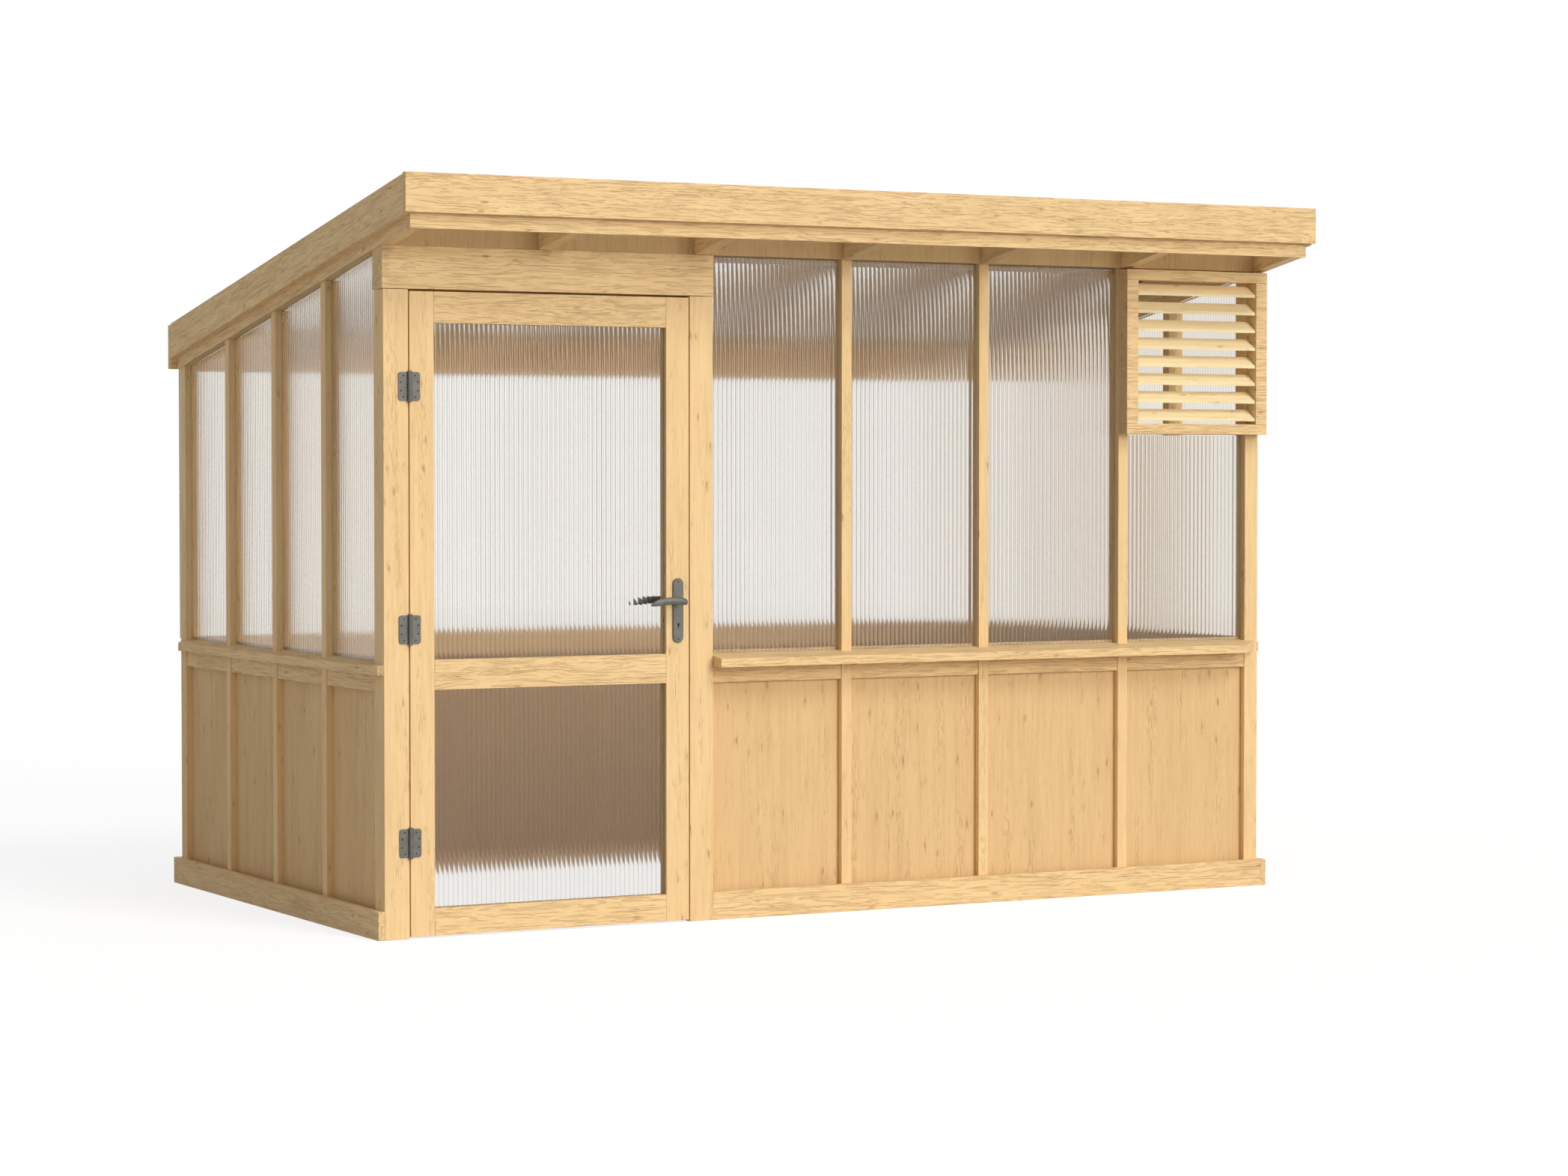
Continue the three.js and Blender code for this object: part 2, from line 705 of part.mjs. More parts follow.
// Louvre: a box frame on the face of the last front bay, with sloped slats housed in its stiles
function louvre() {
  const left = mullionLefts.at(-1);
  const width = baseRight - left;
  const [inLeft, inRight] = [louvreStile, width - louvreStile];
  const height = louvreTop - louvreBottom;
  const clear = height - 2 * louvreRail;
  const parts = [
    board(0, louvreStile, 0, louvreDepth, 0, height),
    board(inRight, width, 0, louvreDepth, 0, height),
    board(inLeft - lap, inRight + lap, 0, louvreDepth, 0, louvreRail),
    board(inLeft - lap, inRight + lap, 0, louvreDepth, height - louvreRail, height),
  ];
  const pitch = clear / slatCount;
  const [front, back] = [(louvreDepth - slatDepth) / 2, (louvreDepth + slatDepth) / 2];
  for (let i = 0; i < slatCount; i += 1) {
    const foot = louvreRail + i * pitch + (pitch - slatRise - slatThickness) / 2;
    const outline = [
      [front, foot], [back, foot + slatRise],
      [back, foot + slatRise + slatThickness], [front, foot + slatThickness],
    ];
    parts.push(slabYZ(outline, inLeft - slatHousing, inRight + slatHousing));
  }
  const group = new THREE.Group();
  group.position.set(left, plinthFront - louvreDepth, louvreBottom);
  group.add(piece('louvre', join(parts), timber));
  return group;
}

// Door leaf, drawn from its hinge side bottom front corner
function doorLeaf() {
  const inRight = leafWidth - stileWidth;
  const grooveTop = leafHeight - topRailHeight + grooveDepth;
  const [paneFront, paneRear] = [leafPaneSetback, leafPaneSetback + paneThickness];
  const rails = {
    door_bottom_rail: [0, bottomRailHeightDoor],
    door_middle_rail: [midRailBottom, midRailBottom + midRailHeight],
    door_top_rail: [leafHeight - topRailHeight, leafHeight],
  };
  const openings = {
    door_lower_pane: [bottomRailHeightDoor, midRailBottom],
    door_upper_pane: [midRailBottom + midRailHeight, leafHeight - topRailHeight],
  };
  const paneRoom = Object.values(openings).map(([z0, z1]) => housing(
    stileWidth - grooveDepth, inRight + grooveDepth, paneFront, paneRear, z0 - grooveDepth, z1 + grooveDepth));
  const tenon = ([z0, z1]) => {
    const [middle, half] = [(z0 + z1) / 2, (z1 - z0) * tenonHeightShare / 2];
    const across = [(leafThickness - tenonThickness) / 2, (leafThickness + tenonThickness) / 2];
    return [stileWidth - tenonLength, inRight + tenonLength, ...across, middle - half, middle + half];
  };
  const mortises = Object.values(rails).map((rail) => housing(...tenon(rail)));
  const group = new THREE.Group();
  group.position.set(leafLeft, 0, doorBottomGap);
  const stile = (x0, x1) => board(x0, x1, 0, leafThickness, 0, leafHeight);
  group.add(
    piece('door_hinge_stile', cut(stile(0, stileWidth), [...paneRoom, ...mortises]), timber),
    piece('door_lock_stile', cut(stile(inRight, leafWidth), [...paneRoom, ...mortises, ...lockRoom()]), timber),
  );
  for (const [name, rail] of Object.entries(rails)) {
    const bar = join([board(stileWidth, inRight, 0, leafThickness, ...rail), board(...tenon(rail))]);
    group.add(piece(name, cut(bar, paneRoom), timber));
  }
  for (const [name, [z0, z1]] of Object.entries(openings)) {
    const pane = board(stileWidth - grooveDepth, inRight + grooveDepth, paneFront, paneRear,
      z0 - grooveDepth, Math.min(z1 + grooveDepth, grooveTop));
    group.add(piece(name, pane, glazing));
  }
  return group;
}

// The lock, drawn with the spindle's axis at x = 0, z = 0; y is measured from the front of the leaf
const backset = stileWidth / 2;
const caseMiddle = leafThickness / 2;

function lockRoom() {
  const shift = [leafWidth - backset, 0, spindleHeight - doorBottomGap];
  return [
    housing(backset - caseDepth, backset + overrun, ...caseAcross(), ...caseUp()),
    housing(backset - facePlateThickness, backset + overrun, ...facePlateAcross(), ...facePlateUp()),
    cylinderY(neckRadius + neckClearance, 0, 0, -overrun, leafThickness + overrun, roundFacets),
    cylinderY(keyholeRadius + keyholeWidth, 0, -keyDrop, -overrun, leafThickness + overrun, roundFacets),
  ].map((cutter) => cutter.translate(shift));
}

function caseAcross() {
  return [caseMiddle - caseThickness / 2, caseMiddle + caseThickness / 2];
}

function caseUp() {
  return [-caseDrop - caseHeight / 2, -caseDrop + caseHeight / 2];
}

function facePlateAcross() {
  return [caseMiddle - facePlateWidth / 2, caseMiddle + facePlateWidth / 2];
}

function facePlateUp() {
  return [-caseDrop - facePlateLength / 2, -caseDrop + facePlateLength / 2];
}

// Room in the case for a sliding bar: its length when drawn back, plus clearance all round
function barRoom(thick, high, level, back) {
  const c = slideClearance;
  return boxBetween(back - c, backset + overrun, caseMiddle - thick / 2 - c, caseMiddle + thick / 2 + c,
    level - high / 2 - c, level + high / 2 + c);
}

function lockCase() {
  const body = join([
    board(backset - caseDepth, backset - lap / 2, ...caseAcross(), ...caseUp()),
    board(backset - facePlateThickness, backset, ...facePlateAcross(), ...facePlateUp()),
  ]);
  const spindleHole = cylinderY(spindleSize / Math.SQRT2 + spindleClearance, 0, 0, -overrun, leafThickness + overrun);
  const keyHole = cylinderY(keyholeRadius, 0, -keyDrop, -overrun, leafThickness + overrun, holeFacets);
  return piece('lock_case', cut(body, [
    spindleHole, keyHole,
    barRoom(latchThickness, latchHeight, 0, backset - latchLength),
    barRoom(boltThickness, boltHeight, -keyDrop, backset - boltSetback - boltLength),
  ]), steel);
}

// Latch: the outer end is cut away at the back, so that the closing door pushes it in
function latchBar() {
  const [y0, y1] = [caseMiddle - latchThickness / 2, caseMiddle + latchThickness / 2];
  const tip = backset + latchThrow;
  const bar = slabXY([
    [tip - latchLength, y0], [tip, y0], [tip, y0 + strikeMargin], [backset + skim, y1], [tip - latchLength, y1],
  ], -latchHeight / 2, latchHeight / 2);
  return piece('latch', bar, steel);
}

function boltBar() {
  const tip = backset - boltSetback;
  const bar = board(tip - boltLength, tip, caseMiddle - boltThickness / 2, caseMiddle + boltThickness / 2,
    -keyDrop - boltHeight / 2, -keyDrop + boltHeight / 2);
  return piece('deadbolt', bar, steel);
}

// Back plate with round ends, drawn flat and stood up; side is 1 outside and -1 inside
function backPlate(name, side) {
  const radius = plateWidth / 2 - plateBevel;
  const half = plateLength / 2 - plateWidth / 2;
  const shape = new THREE.Shape();
  shape.absarc(0, half, radius, 0, Math.PI);
  shape.absarc(0, -half, radius, Math.PI, 2 * Math.PI);
  const geometry = new THREE.ExtrudeGeometry(shape, {
    depth: plateThickness - plateBevel - skim, curveSegments: roundFacets / 2,
    bevelThickness: plateBevel, bevelSize: plateBevel, bevelSegments: 1,
  });
  geometry.translate(0, -plateDrop, 0);
  const trimmed = solid(geometry).trimByPlane([0, 0, 1], skim);
  const body = trimmed.rotate([90, 0, side > 0 ? 0 : 180]).translate([0, side > 0 ? 0 : leafThickness, 0]);
  const [y0, y1] = side > 0 ? [-plateThickness - overrun, overrun]
    : [leafThickness - overrun, leafThickness + plateThickness + overrun];
  const holes = [
    cylinderY(neckRadius + neckClearance, 0, 0, y0, y1),
    cylinderY(keyholeRadius, 0, -keyDrop, y0, y1, holeFacets),
    boxBetween(-keyholeWidth / 2, keyholeWidth / 2, y0, y1, -keyDrop - keyholeLength, -keyDrop),
    ...[1, -1].map((end) => cylinderY(plateScrewRadius, 0,
      -plateDrop + end * (plateLength / 2 - plateScrewInset), y0, y1, holeFacets)),
  ];
  return piece(name, cut(body, holes), darkMetal);
}

// Lever bar: rings along its length, each [along, droop, height, thickness] as shares
const leverSectionShares = [
  [0, 0.36, 0.4, 0.45],
  [0.03, 0.3, 0.76, 0.8],
  [0.1, 0.18, 0.94, 1],
  [0.25, 0.04, 1, 1],
  [0.45, 0, 0.98, 0.96],
  [0.63, 0.13, 0.96, 0.9],
  [0.8, 0.42, 0.88, 0.78],
  [0.89, 0.66, 0.68, 0.62],
  [0.96, 0.9, 0.4, 0.42],
  [1, 1, 0.14, 0.18],
];

function leverBar() {
  const positions = [];
  const index = [];
  const around = 18;
  leverSectionShares.forEach(([along, droop, high, thick]) => {
    for (let i = 0; i < around; i += 1) {
      const angle = (2 * Math.PI * i) / around;
      positions.push(
        leverHeel - along * leverLength,
        Math.cos(angle) * thick * leverThickness / 2,
        Math.sin(angle) * high * leverHeight / 2 - droop * leverDroop,
      );
    }
  });
  const last = (leverSectionShares.length - 1) * around;
  for (let ring = 0; ring < last; ring += around) {
    for (let i = 0; i < around; i += 1) {
      const [a, b] = [ring + i, ring + ((i + 1) % around)];
      index.push(a, a + around, b, b, a + around, b + around);
    }
  }
  for (let i = 1; i < around - 1; i += 1) {
    index.push(0, i, i + 1);
    index.push(last, last + i + 1, last + i);
  }
  const geometry = new THREE.BufferGeometry();
  geometry.setAttribute('position', new THREE.BufferAttribute(new Float32Array(positions), 3));
  geometry.setIndex(index);
  return solid(geometry);
}

// The outer lever carries the square spindle; the inner lever stands on its end
function leverHandle(name, side) {
  const plateFace = side > 0 ? -plateThickness : leafThickness + plateThickness;
  const barMiddle = plateFace - side * leverStandoff;
  const neckFoot = side > 0 ? -skim : leafThickness + skim;
  const neck = cylinderY(neckRadius, 0, 0, Math.min(neckFoot, barMiddle), Math.max(neckFoot, barMiddle));
  const lever = join([leverBar().translate([0, barMiddle, 0]), neck]);
  const half = spindleSize / 2;
  const inner = leafThickness + plateThickness;
  if (side > 0) {
    const spindle = boxBetween(-half, half, neckFoot - lap, inner, -half, half);
    return piece(name, join([lever, spindle]), darkMetal);
  }
  const socket = half + slideClearance;
  const room = boxBetween(-socket, socket, -overrun, inner + slideClearance, -socket, socket);
  return piece(name, cut(lever, [room]), darkMetal);
}

function lockSet() {
  const group = new THREE.Group();
  group.position.set(leafRight - backset, 0, spindleHeight);
  group.add(
    lockCase(), latchBar(), boltBar(),
    backPlate('backplate_outside', 1), backPlate('backplate_inside', -1),
    leverHandle('lever_outside', 1), leverHandle('lever_inside', -1),
  );
  return group;
}

// Hinge leaf, drawn about the pin's axis; side is 1 on the door and -1 on the post
function hingeLeaf(name, side) {
  const half = hingeLength / 2;
  const radius = hingeCornerRadius;
  const reach = barrelRadius + 2 * pinClearance;
  const shape = new THREE.Shape();
  shape.moveTo(reach, -half);
  shape.lineTo(hingeLeafWidth - radius, -half);
  shape.absarc(hingeLeafWidth - radius, -half + radius, radius, -Math.PI / 2, 0);
  shape.absarc(hingeLeafWidth - radius, half - radius, radius, 0, Math.PI / 2);
  shape.lineTo(reach, half);
  const geometry = new THREE.ExtrudeGeometry(shape, {
    depth: hingeLeafThickness, bevelEnabled: false, curveSegments: holeFacets / 2,
  });
  const back = barrelRadius;
  geometry.rotateX(Math.PI / 2);
  geometry.translate(0, back, 0);
  const outer = hingeLeafWidth - hingeHoleInset;
  const inner = outer - hingeHoleStagger;
  const high = half - hingeHoleEnd;
  const low = high * hingeHoleSpacingShare;
  const holes = [[inner, high], [outer, low], [outer, -low], [inner, -high]]
    .map(([x, z]) => cylinderY(hingeHoleRadius, x, z, -overrun, back + overrun, holeFacets));
  const flap = cut(solid(geometry), holes);
  const parts = [side > 0 ? flap : flap.rotate([0, 180, 0])];
  const knuckle = hingeLength / knuckleCount;
  for (let i = side > 0 ? 1 : 0; i < knuckleCount; i += 2) {
    const [z0, z1] = [i * knuckle - half + pinClearance / 2, (i + 1) * knuckle - half - pinClearance / 2];
    parts.push(cylinderZ(barrelRadius, z0, z1));
    const [x0, x1] = [0, side * (reach + lap)];
    parts.push(boxBetween(Math.min(x0, x1), Math.max(x0, x1), back - hingeLeafThickness, back, z0, z1));
  }
  if (side > 0) {
    const bore = cylinderZ(pinRadius + pinClearance, -half - overrun, half + overrun);
    return piece(name, cut(join(parts), [bore]), darkMetal);
  }
  parts.push(cylinderZ(pinRadius, -half, half));
  parts.push(cylinderZ(barrelRadius, half - lap, half + pinHeadHeight));
  parts.push(cylinderZ(barrelRadius, -half - pinHeadHeight, lap - half));
  return piece(name, join(parts), darkMetal);
}

function hinges() {
  return hingeHeightShares.map((share, i) => {
    const group = new THREE.Group();
    const height = doorBottomGap + Math.round(share * leafHeight);
    group.position.set(leafLeft - doorGap / 2, -barrelRadius - 2 * skim, height);
    group.add(hingeLeaf(`hinge_${i + 1}_post_leaf`, -1), hingeLeaf(`hinge_${i + 1}_door_leaf`, 1));
    return group;
  });
}

const greenhouse = new THREE.Group();
greenhouse.add(
  plinth(),
  doorway(),
  frontSide(),
  leftSide(),
  rightSide(),
  backSide(),
  roof(),
  louvre(),
  doorLeaf(),
  lockSet(),
  ...hinges(),
);
greenhouse.position.set(-baseLength / 2, (frontOverhang - baseDepth) / 2, -skim);

const model = new THREE.Group();
model.add(greenhouse);

export default model;
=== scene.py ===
# Looks of the lean-to greenhouse: timber boards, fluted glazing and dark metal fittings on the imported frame.
# Metres, in the frame's own axes: X along the front, Y from the front to the back, Z up.
import math

import bmesh
import bpy
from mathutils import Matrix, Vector


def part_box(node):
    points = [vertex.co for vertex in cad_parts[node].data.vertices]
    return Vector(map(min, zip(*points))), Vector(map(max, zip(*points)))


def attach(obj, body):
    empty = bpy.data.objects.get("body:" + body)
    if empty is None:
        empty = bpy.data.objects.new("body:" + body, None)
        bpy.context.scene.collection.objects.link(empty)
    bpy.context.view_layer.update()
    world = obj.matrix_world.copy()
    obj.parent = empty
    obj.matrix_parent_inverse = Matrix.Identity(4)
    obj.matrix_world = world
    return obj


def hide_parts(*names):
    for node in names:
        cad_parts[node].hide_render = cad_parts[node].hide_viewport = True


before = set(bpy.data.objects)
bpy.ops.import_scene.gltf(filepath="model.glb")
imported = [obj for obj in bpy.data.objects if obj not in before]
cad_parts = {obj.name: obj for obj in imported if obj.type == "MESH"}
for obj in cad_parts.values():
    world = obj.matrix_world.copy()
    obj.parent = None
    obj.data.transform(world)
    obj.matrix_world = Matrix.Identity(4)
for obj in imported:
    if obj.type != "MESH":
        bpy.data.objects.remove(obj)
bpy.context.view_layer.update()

# Sizes that the frame's boxes don't give
SKIM = 0.00015  # gap left on every face of a board
GROOVE = 0.008  # how deep a pane sits in a post
INFILL = 0.021  # from the face of a post to its panes and boarding
PANE = 0.010
BOARDING = 0.016
WALL = 0.060
CORNER_POST = 0.054
FRIEZE_RECESS = 0.003
FRIEZE = 0.053
BOTTOM_RAIL = 0.045
SILL_RAIL = 0.090
SILL_RAIL_RISE = 0.009
TOP_PLATE = 0.020
TRANSOM = 0.036
BLOCK = 0.056
BLOCK_OUT = 0.020  # how far the blocks between the rafters stand out from the front posts
RAFTER_HEIGHT = 0.122
ROOF_SHEET = 0.010
STOP_DEPTH = 0.036
LOUVRE_STILE = 0.046
LOUVRE_RAIL = 0.036
SLATS = 8
SLAT_DEPTH = 0.042
SLAT_RISE = 0.032
SLAT_THICKNESS = 0.010
LAP = 0.003  # how far two boards of a CAD panel run into each other
JOINT = 0.0015  # dark line left where the header meets the posts
EDGE = 0.0012  # rounding of a board's edges
FLUTE = 0.016  # width of one channel of the glazing
PANES = 4  # in each glazed wall
RAFTERS = 5  # between the two end rafters

RING_WIDTH = 0.0095  # from one growth line to the next

# Door fittings
HINGE_LEAF = 0.003  # thickness
HINGE_HOLES = ((0.008, 0.4), (0.017, 1.0))  # from the long edge, and share of the way to the end holes
HINGE_HOLE_END = 0.011  # from a leaf's end to its end holes
PLATE_SCREW_INSET = 0.011  # from a backplate's end
SCREW_RADIUS = 0.0024
SCREW_SUNK = 0.0012
SCREW_RECESS = 0.0009  # depth
SCREW_CROSS = 0.5  # radius of the recess, as a share of the head's
CROSS_ARMS = 4
CROSS_LOBES = 0.35  # how far the arms stand out, as a share of that radius
HINGES = 3
LEVER_LENGTH = 0.131
LEVER_HEEL = 0.011  # from the end of the bar to the neck's middle
LEVER_HEIGHT = 0.024
LEVER_THICKNESS = 0.015
LEVER_DROOP = 0.013
NECK_RADIUS = 0.008
COLLAR_RADIUS = 0.0105
COLLAR_LENGTH = 0.004

# Colour, roughness, metallic share, and how much paler it is where worn
DARK_METAL = ((0.12, 0.115, 0.1, 1), 0.5, 0.35, 1.25)
SCREW_STEEL = ((0.03, 0.03, 0.028, 1), 0.45, 0.6, 1.3)
LOCK_STEEL = ((0.5, 0.5, 0.49, 1), 0.32, 1.0, 1.2)

# Rounding of edges
EDGE_SEGMENTS = 2
FITTING_EDGE = 0.0006
LOCK_EDGE = 0.0003
WELD_GAP = 0.00001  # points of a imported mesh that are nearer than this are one

# Glazing: axis across the channels, lean of their surface at the edges, share of the lamps' light let
# through, IOR, roughness, how dark the webs are, and tone
SHEETS = {
    "front": ("x", 0.48, 0.25, 1.45, 0.07, 0.85, (0.95, 0.943, 0.930, 1)),
    # The side sheets' darker, greyer tone is painted shade, for the side walls in shade.
    "side": ("y", 0.14, 0.4, 1.35, 0.07, 0.9, (0.84, 0.80, 0.735, 1)),
    "back": ("x", 0.12, 0.3, 1.45, 0.0, 0.75, (0.96, 0.955, 0.945, 1)),
    # The roof sheet's darker tone is painted shade, for the shaded underside of the roof seen from inside.
    "roof": ("x", 0.2, 0.45, 1.12, 0.04, 0.65, (0.84, 0.815, 0.775, 1)),
}
BATTEN = (0.045, 0.014)  # width and height of the strips that hold the roof sheet down
BATTEN_END = 0.004

# Light and camera: each sun has a strength, and its height and spread in degrees
SUNS = {"low_key": (1.26, 14.5, 23.0), "high_key": (0.94, 46.0, 22.0)}
SUN_COLOUR = (1.0, 0.99, 0.965)
SUN_SIDE = 18.0  # degrees to the right of the front wall's normal
SKY_LOW = 0.25
SKY_HIGH = 0.44
SKY_FRONT = 1.6  # times as strong straight from the front
SKY_COLOUR = (0.985, 0.99, 1.0, 1)
WHITE = (1, 1, 1, 1)
FLOOR_REACH = 60.0
FLOOR_DROP = 0.0005  # below the foot of the part
FLOOR_MATT = (0.62, 0.62, 0.62, 1)  # as the part is lit by it
FLOOR_GLOW = 0.79  # as the eye sees it; its own shade adds the rest of white
FLOOR_FAINT = (0.29, 0.29, 0.29, 1)
SENSOR = 36.0
FOCAL_LENGTH = 86.25
CAMERA_YAW = 28.406  # from +Y towards +X
CAMERA_PITCH = -1.771
CAMERA_PLACE = (-6.0403, -11.5234, 1.4414)
CAMERA_CLIP = 300.0

# Places on a Mix node that is set to colours: the factor and both colours, and the result
MIX_COLOUR_INPUTS = (0, 6, 7)
MIX_COLOUR_OUTPUT = 2


def low(node):
    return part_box(node)[0]


def high(node):
    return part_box(node)[1]


# Shader graphs


class Graph:
    """The nodes of a material or a world, with short ways to add a node and join it up."""

    def __init__(self, owner):
        self.owner = owner
        owner.use_nodes = True
        self.nodes, self.links = owner.node_tree.nodes, owner.node_tree.links
        self.nodes.clear()

    def give(self, socket, value):
        """Feeds a socket from another one, or sets it to a constant."""
        if isinstance(value, bpy.types.NodeSocket):
            self.links.new(value, socket)
        else:
            socket.default_value = value

    def add(self, kind, settings=None, **inputs):
        """A new node. An input's name has _ where the socket's has a space."""
        node = self.nodes.new(kind)
        for key, value in (settings or {}).items():
            setattr(node, key, value)
        for key, value in inputs.items():
            label = key.replace("_", " ")
            self.give(next(s for s in node.inputs if s.name == label and s.enabled), value)
        return node

    def fill(self, node, sockets, values):
        """Gives values to some sockets of a node, and returns the node."""
        for socket, value in zip(sockets, values):
            self.give(socket, value)
        return node

    def math(self, operation, *values):
        node = self.add("ShaderNodeMath", {"operation": operation})
        return self.fill(node, node.inputs, values).outputs[0]

    def vector(self, x, y, z):
        return self.add("ShaderNodeCombineXYZ", X=x, Y=y, Z=z).outputs[0]

    def split(self, vector):
        return self.add("ShaderNodeSeparateXYZ", Vector=vector).outputs

    def noise(self, vector, scale=1.0, detail=2.0, roughness=0.5):
        inputs = {"Vector": vector, "Scale": scale, "Detail": detail, "Roughness": roughness}
        return self.add("ShaderNodeTexNoise", **inputs).outputs[0]

    def span(self, value, from_low, from_high, to_low=0.0, to_high=1.0, kind="SMOOTHSTEP"):
        """A value carried over from one range to another."""
        node = self.add("ShaderNodeMapRange", {"interpolation_type": kind})
        return self.fill(node, node.inputs, (value, from_low, from_high, to_low, to_high)).outputs[0]

    def blend(self, factor, first, second):
        """A colour between two others."""
        node = self.add("ShaderNodeMix", {"data_type": "RGBA"})
        sockets = [node.inputs[i] for i in MIX_COLOUR_INPUTS]
        return self.fill(node, sockets, (factor, first, second)).outputs[MIX_COLOUR_OUTPUT]

    def choose(self, factor, first, second):
        """The first node's shader where the factor is 0, and the second's where it is 1."""
        node = self.add("ShaderNodeMixShader", Fac=factor)
        return self.fill(node, node.inputs[1:], (first.outputs[0], second.outputs[0]))

    def output(self, shader, kind="ShaderNodeOutputMaterial"):
        self.add(kind, Surface=shader.outputs[0])
        return self.owner


# Timber: grain along one axis, growth lines, fibres, and small knots

PINE = (0.935, 0.655, 0.33)
PINE_LINE = (0.62, 0.36, 0.15)
PINE_KNOT = (0.42, 0.15, 0.04)
# The tint for the rafter blocks darkens them as painted shade, standing for the shadow of the eaves over them.
TINTS = {"frame": (1.0, 1.0, 1.0), "board": (0.87, 0.84, 0.81), "eaves_shade": (0.745, 0.715, 0.665),
         # The tint for the back wall's boarding darkens it as painted shade, for the shade inside the
         # greenhouse.
         # The tint for the louvre slats pales them as painted light, for the strong light on their upturned
         # faces.
         "back": (0.62, 0.575, 0.51), "slat": (1.07, 1.25, 1.45)}
GRAIN_SHIFTS = (37.0, 11.3, 7.7)  # metres; a piece's grain is shifted by a random share of them

# Noises and cells: repeats per metre along the grain and across it
WANDER = (3.4, 14.0)
RIPPLE = (11.0, 45.0)
FIBRE = (40.0, 1300.0)
CLOUD = (2.0, 14.0)
KNOTS = (9.0, 28.0)

# Marks: the same two, the noise's detail and roughness, and the levels between which the mark comes up
MARKS = {
    "lines": (7.5, 215.0, 3.0, 0.6, 0.49, 0.67),
    "patch": (3.5, 22.0, 1.0, 0.5, 0.52, 0.70),
    "streak": (3.0, 75.0, 2.0, 0.5, 0.42, 0.7),
    "dashes": (18.0, 260.0, 1.0, 0.5, 0.62, 0.78),
    "torn": (30.0, 210.0, 1.0, 0.5, 0.52, 0.70),
    "row": (1.3, 26.0, 1.0, 0.5, 0.54, 0.66),
}

# On figured boards, and on plain ones: how far the grain wanders, in metres, how strongly the streaks and
# the growth lines colour the wood, and how the growth lines stand in relief
STRENGTHS = {True: (0.042, 0.11, 0.35, -0.46), False: (0.012, 0.15, 0.10, -0.12)}

RIPPLE_TURN = 2.2  # in radians of the growth rings
RING_LEVELS = (0.2, 1.0)
RING_WEIGHT = 0.8
KNOT_SPREAD = 0.95
KNOT_CHOICE = (0.28, 0.46)  # which cells hold a knot
KNOT_CORE = (0.18, 0.04)  # distances from a cell's middle, from the knot's edge inwards
KNOT_HALO = (0.5, 0.12)  # and from the edge of the torn grain round it
ROW_SHIFT = 3.7
WARM_LEVELS = (0.4, 0.65)
TONES = {"warm": 0.10, "dashes": 0.16, "crackle": 0.18, "knot": 0.46}
RELIEF = {"fibre": 0.10, "dashes": -0.2, "crackle": 0.50, "knot": -0.4}
RELIEF_DEPTH = 0.0028
PINE_ROUGHNESS = (0.3, 0.7, 0.5, 0.62)  # two levels of the cloud, and the roughness at each
PINE_SPECULAR = 0.16
made = {}

# How much the roof rises along Y, from its sheet
roof_rise = high("roof_sheet").z - low("roof_sheet").z - ROOF_SHEET
roof_run = high("roof_sheet").y - low("roof_sheet").y
ROOF_SLOPE = -roof_rise / roof_run


def along_grain(g, grain):
    """The object's coordinates, turned so that X runs along the grain, and shifted for each piece."""
    x, y, z = g.split(g.add("ShaderNodeTexCoord").outputs["Object"])
    if grain == "rake":
        run = g.math("MULTIPLY_ADD", z, ROOF_SLOPE, y)
        across = g.math("MULTIPLY_ADD", y, -ROOF_SLOPE, z)
        x, y, z = run, x, across
    if grain == "y":
        x, y, z = y, x, z
    if grain == "z":
        x, y, z = z, x, y
    chance = g.add("ShaderNodeObjectInfo").outputs["Random"]
    along, across, deep = GRAIN_SHIFTS
    return (g.math("ADD", x, g.math("MULTIPLY", chance, along)), g.math("MULTIPLY_ADD", chance, across, y),
            g.math("MULTIPLY_ADD", chance, deep, z))


def stretched(g, grain, along, across, shift=0.0):
    """Noise coordinates, drawn out along the grain."""
    a, b, c = grain
    if shift:
        b, c = g.math("ADD", b, shift), g.math("ADD", c, shift)
    scaled = ((a, along), (b, across), (c, across))
    return g.vector(*(g.math("MULTIPLY", value, scale) for value, scale in scaled))


def mark(g, place, name, shift=0.0):
    """Where one kind of mark shows, from 0 to 1."""
    along, across, detail, roughness, start, full = MARKS[name]
    return g.span(g.noise(stretched(g, place, along, across, shift), 1.0, detail, roughness), start, full)


def shade(colour, tint):
    return tuple(min(1.0, channel * factor) for channel, factor in zip(colour, tint)) + (1,)


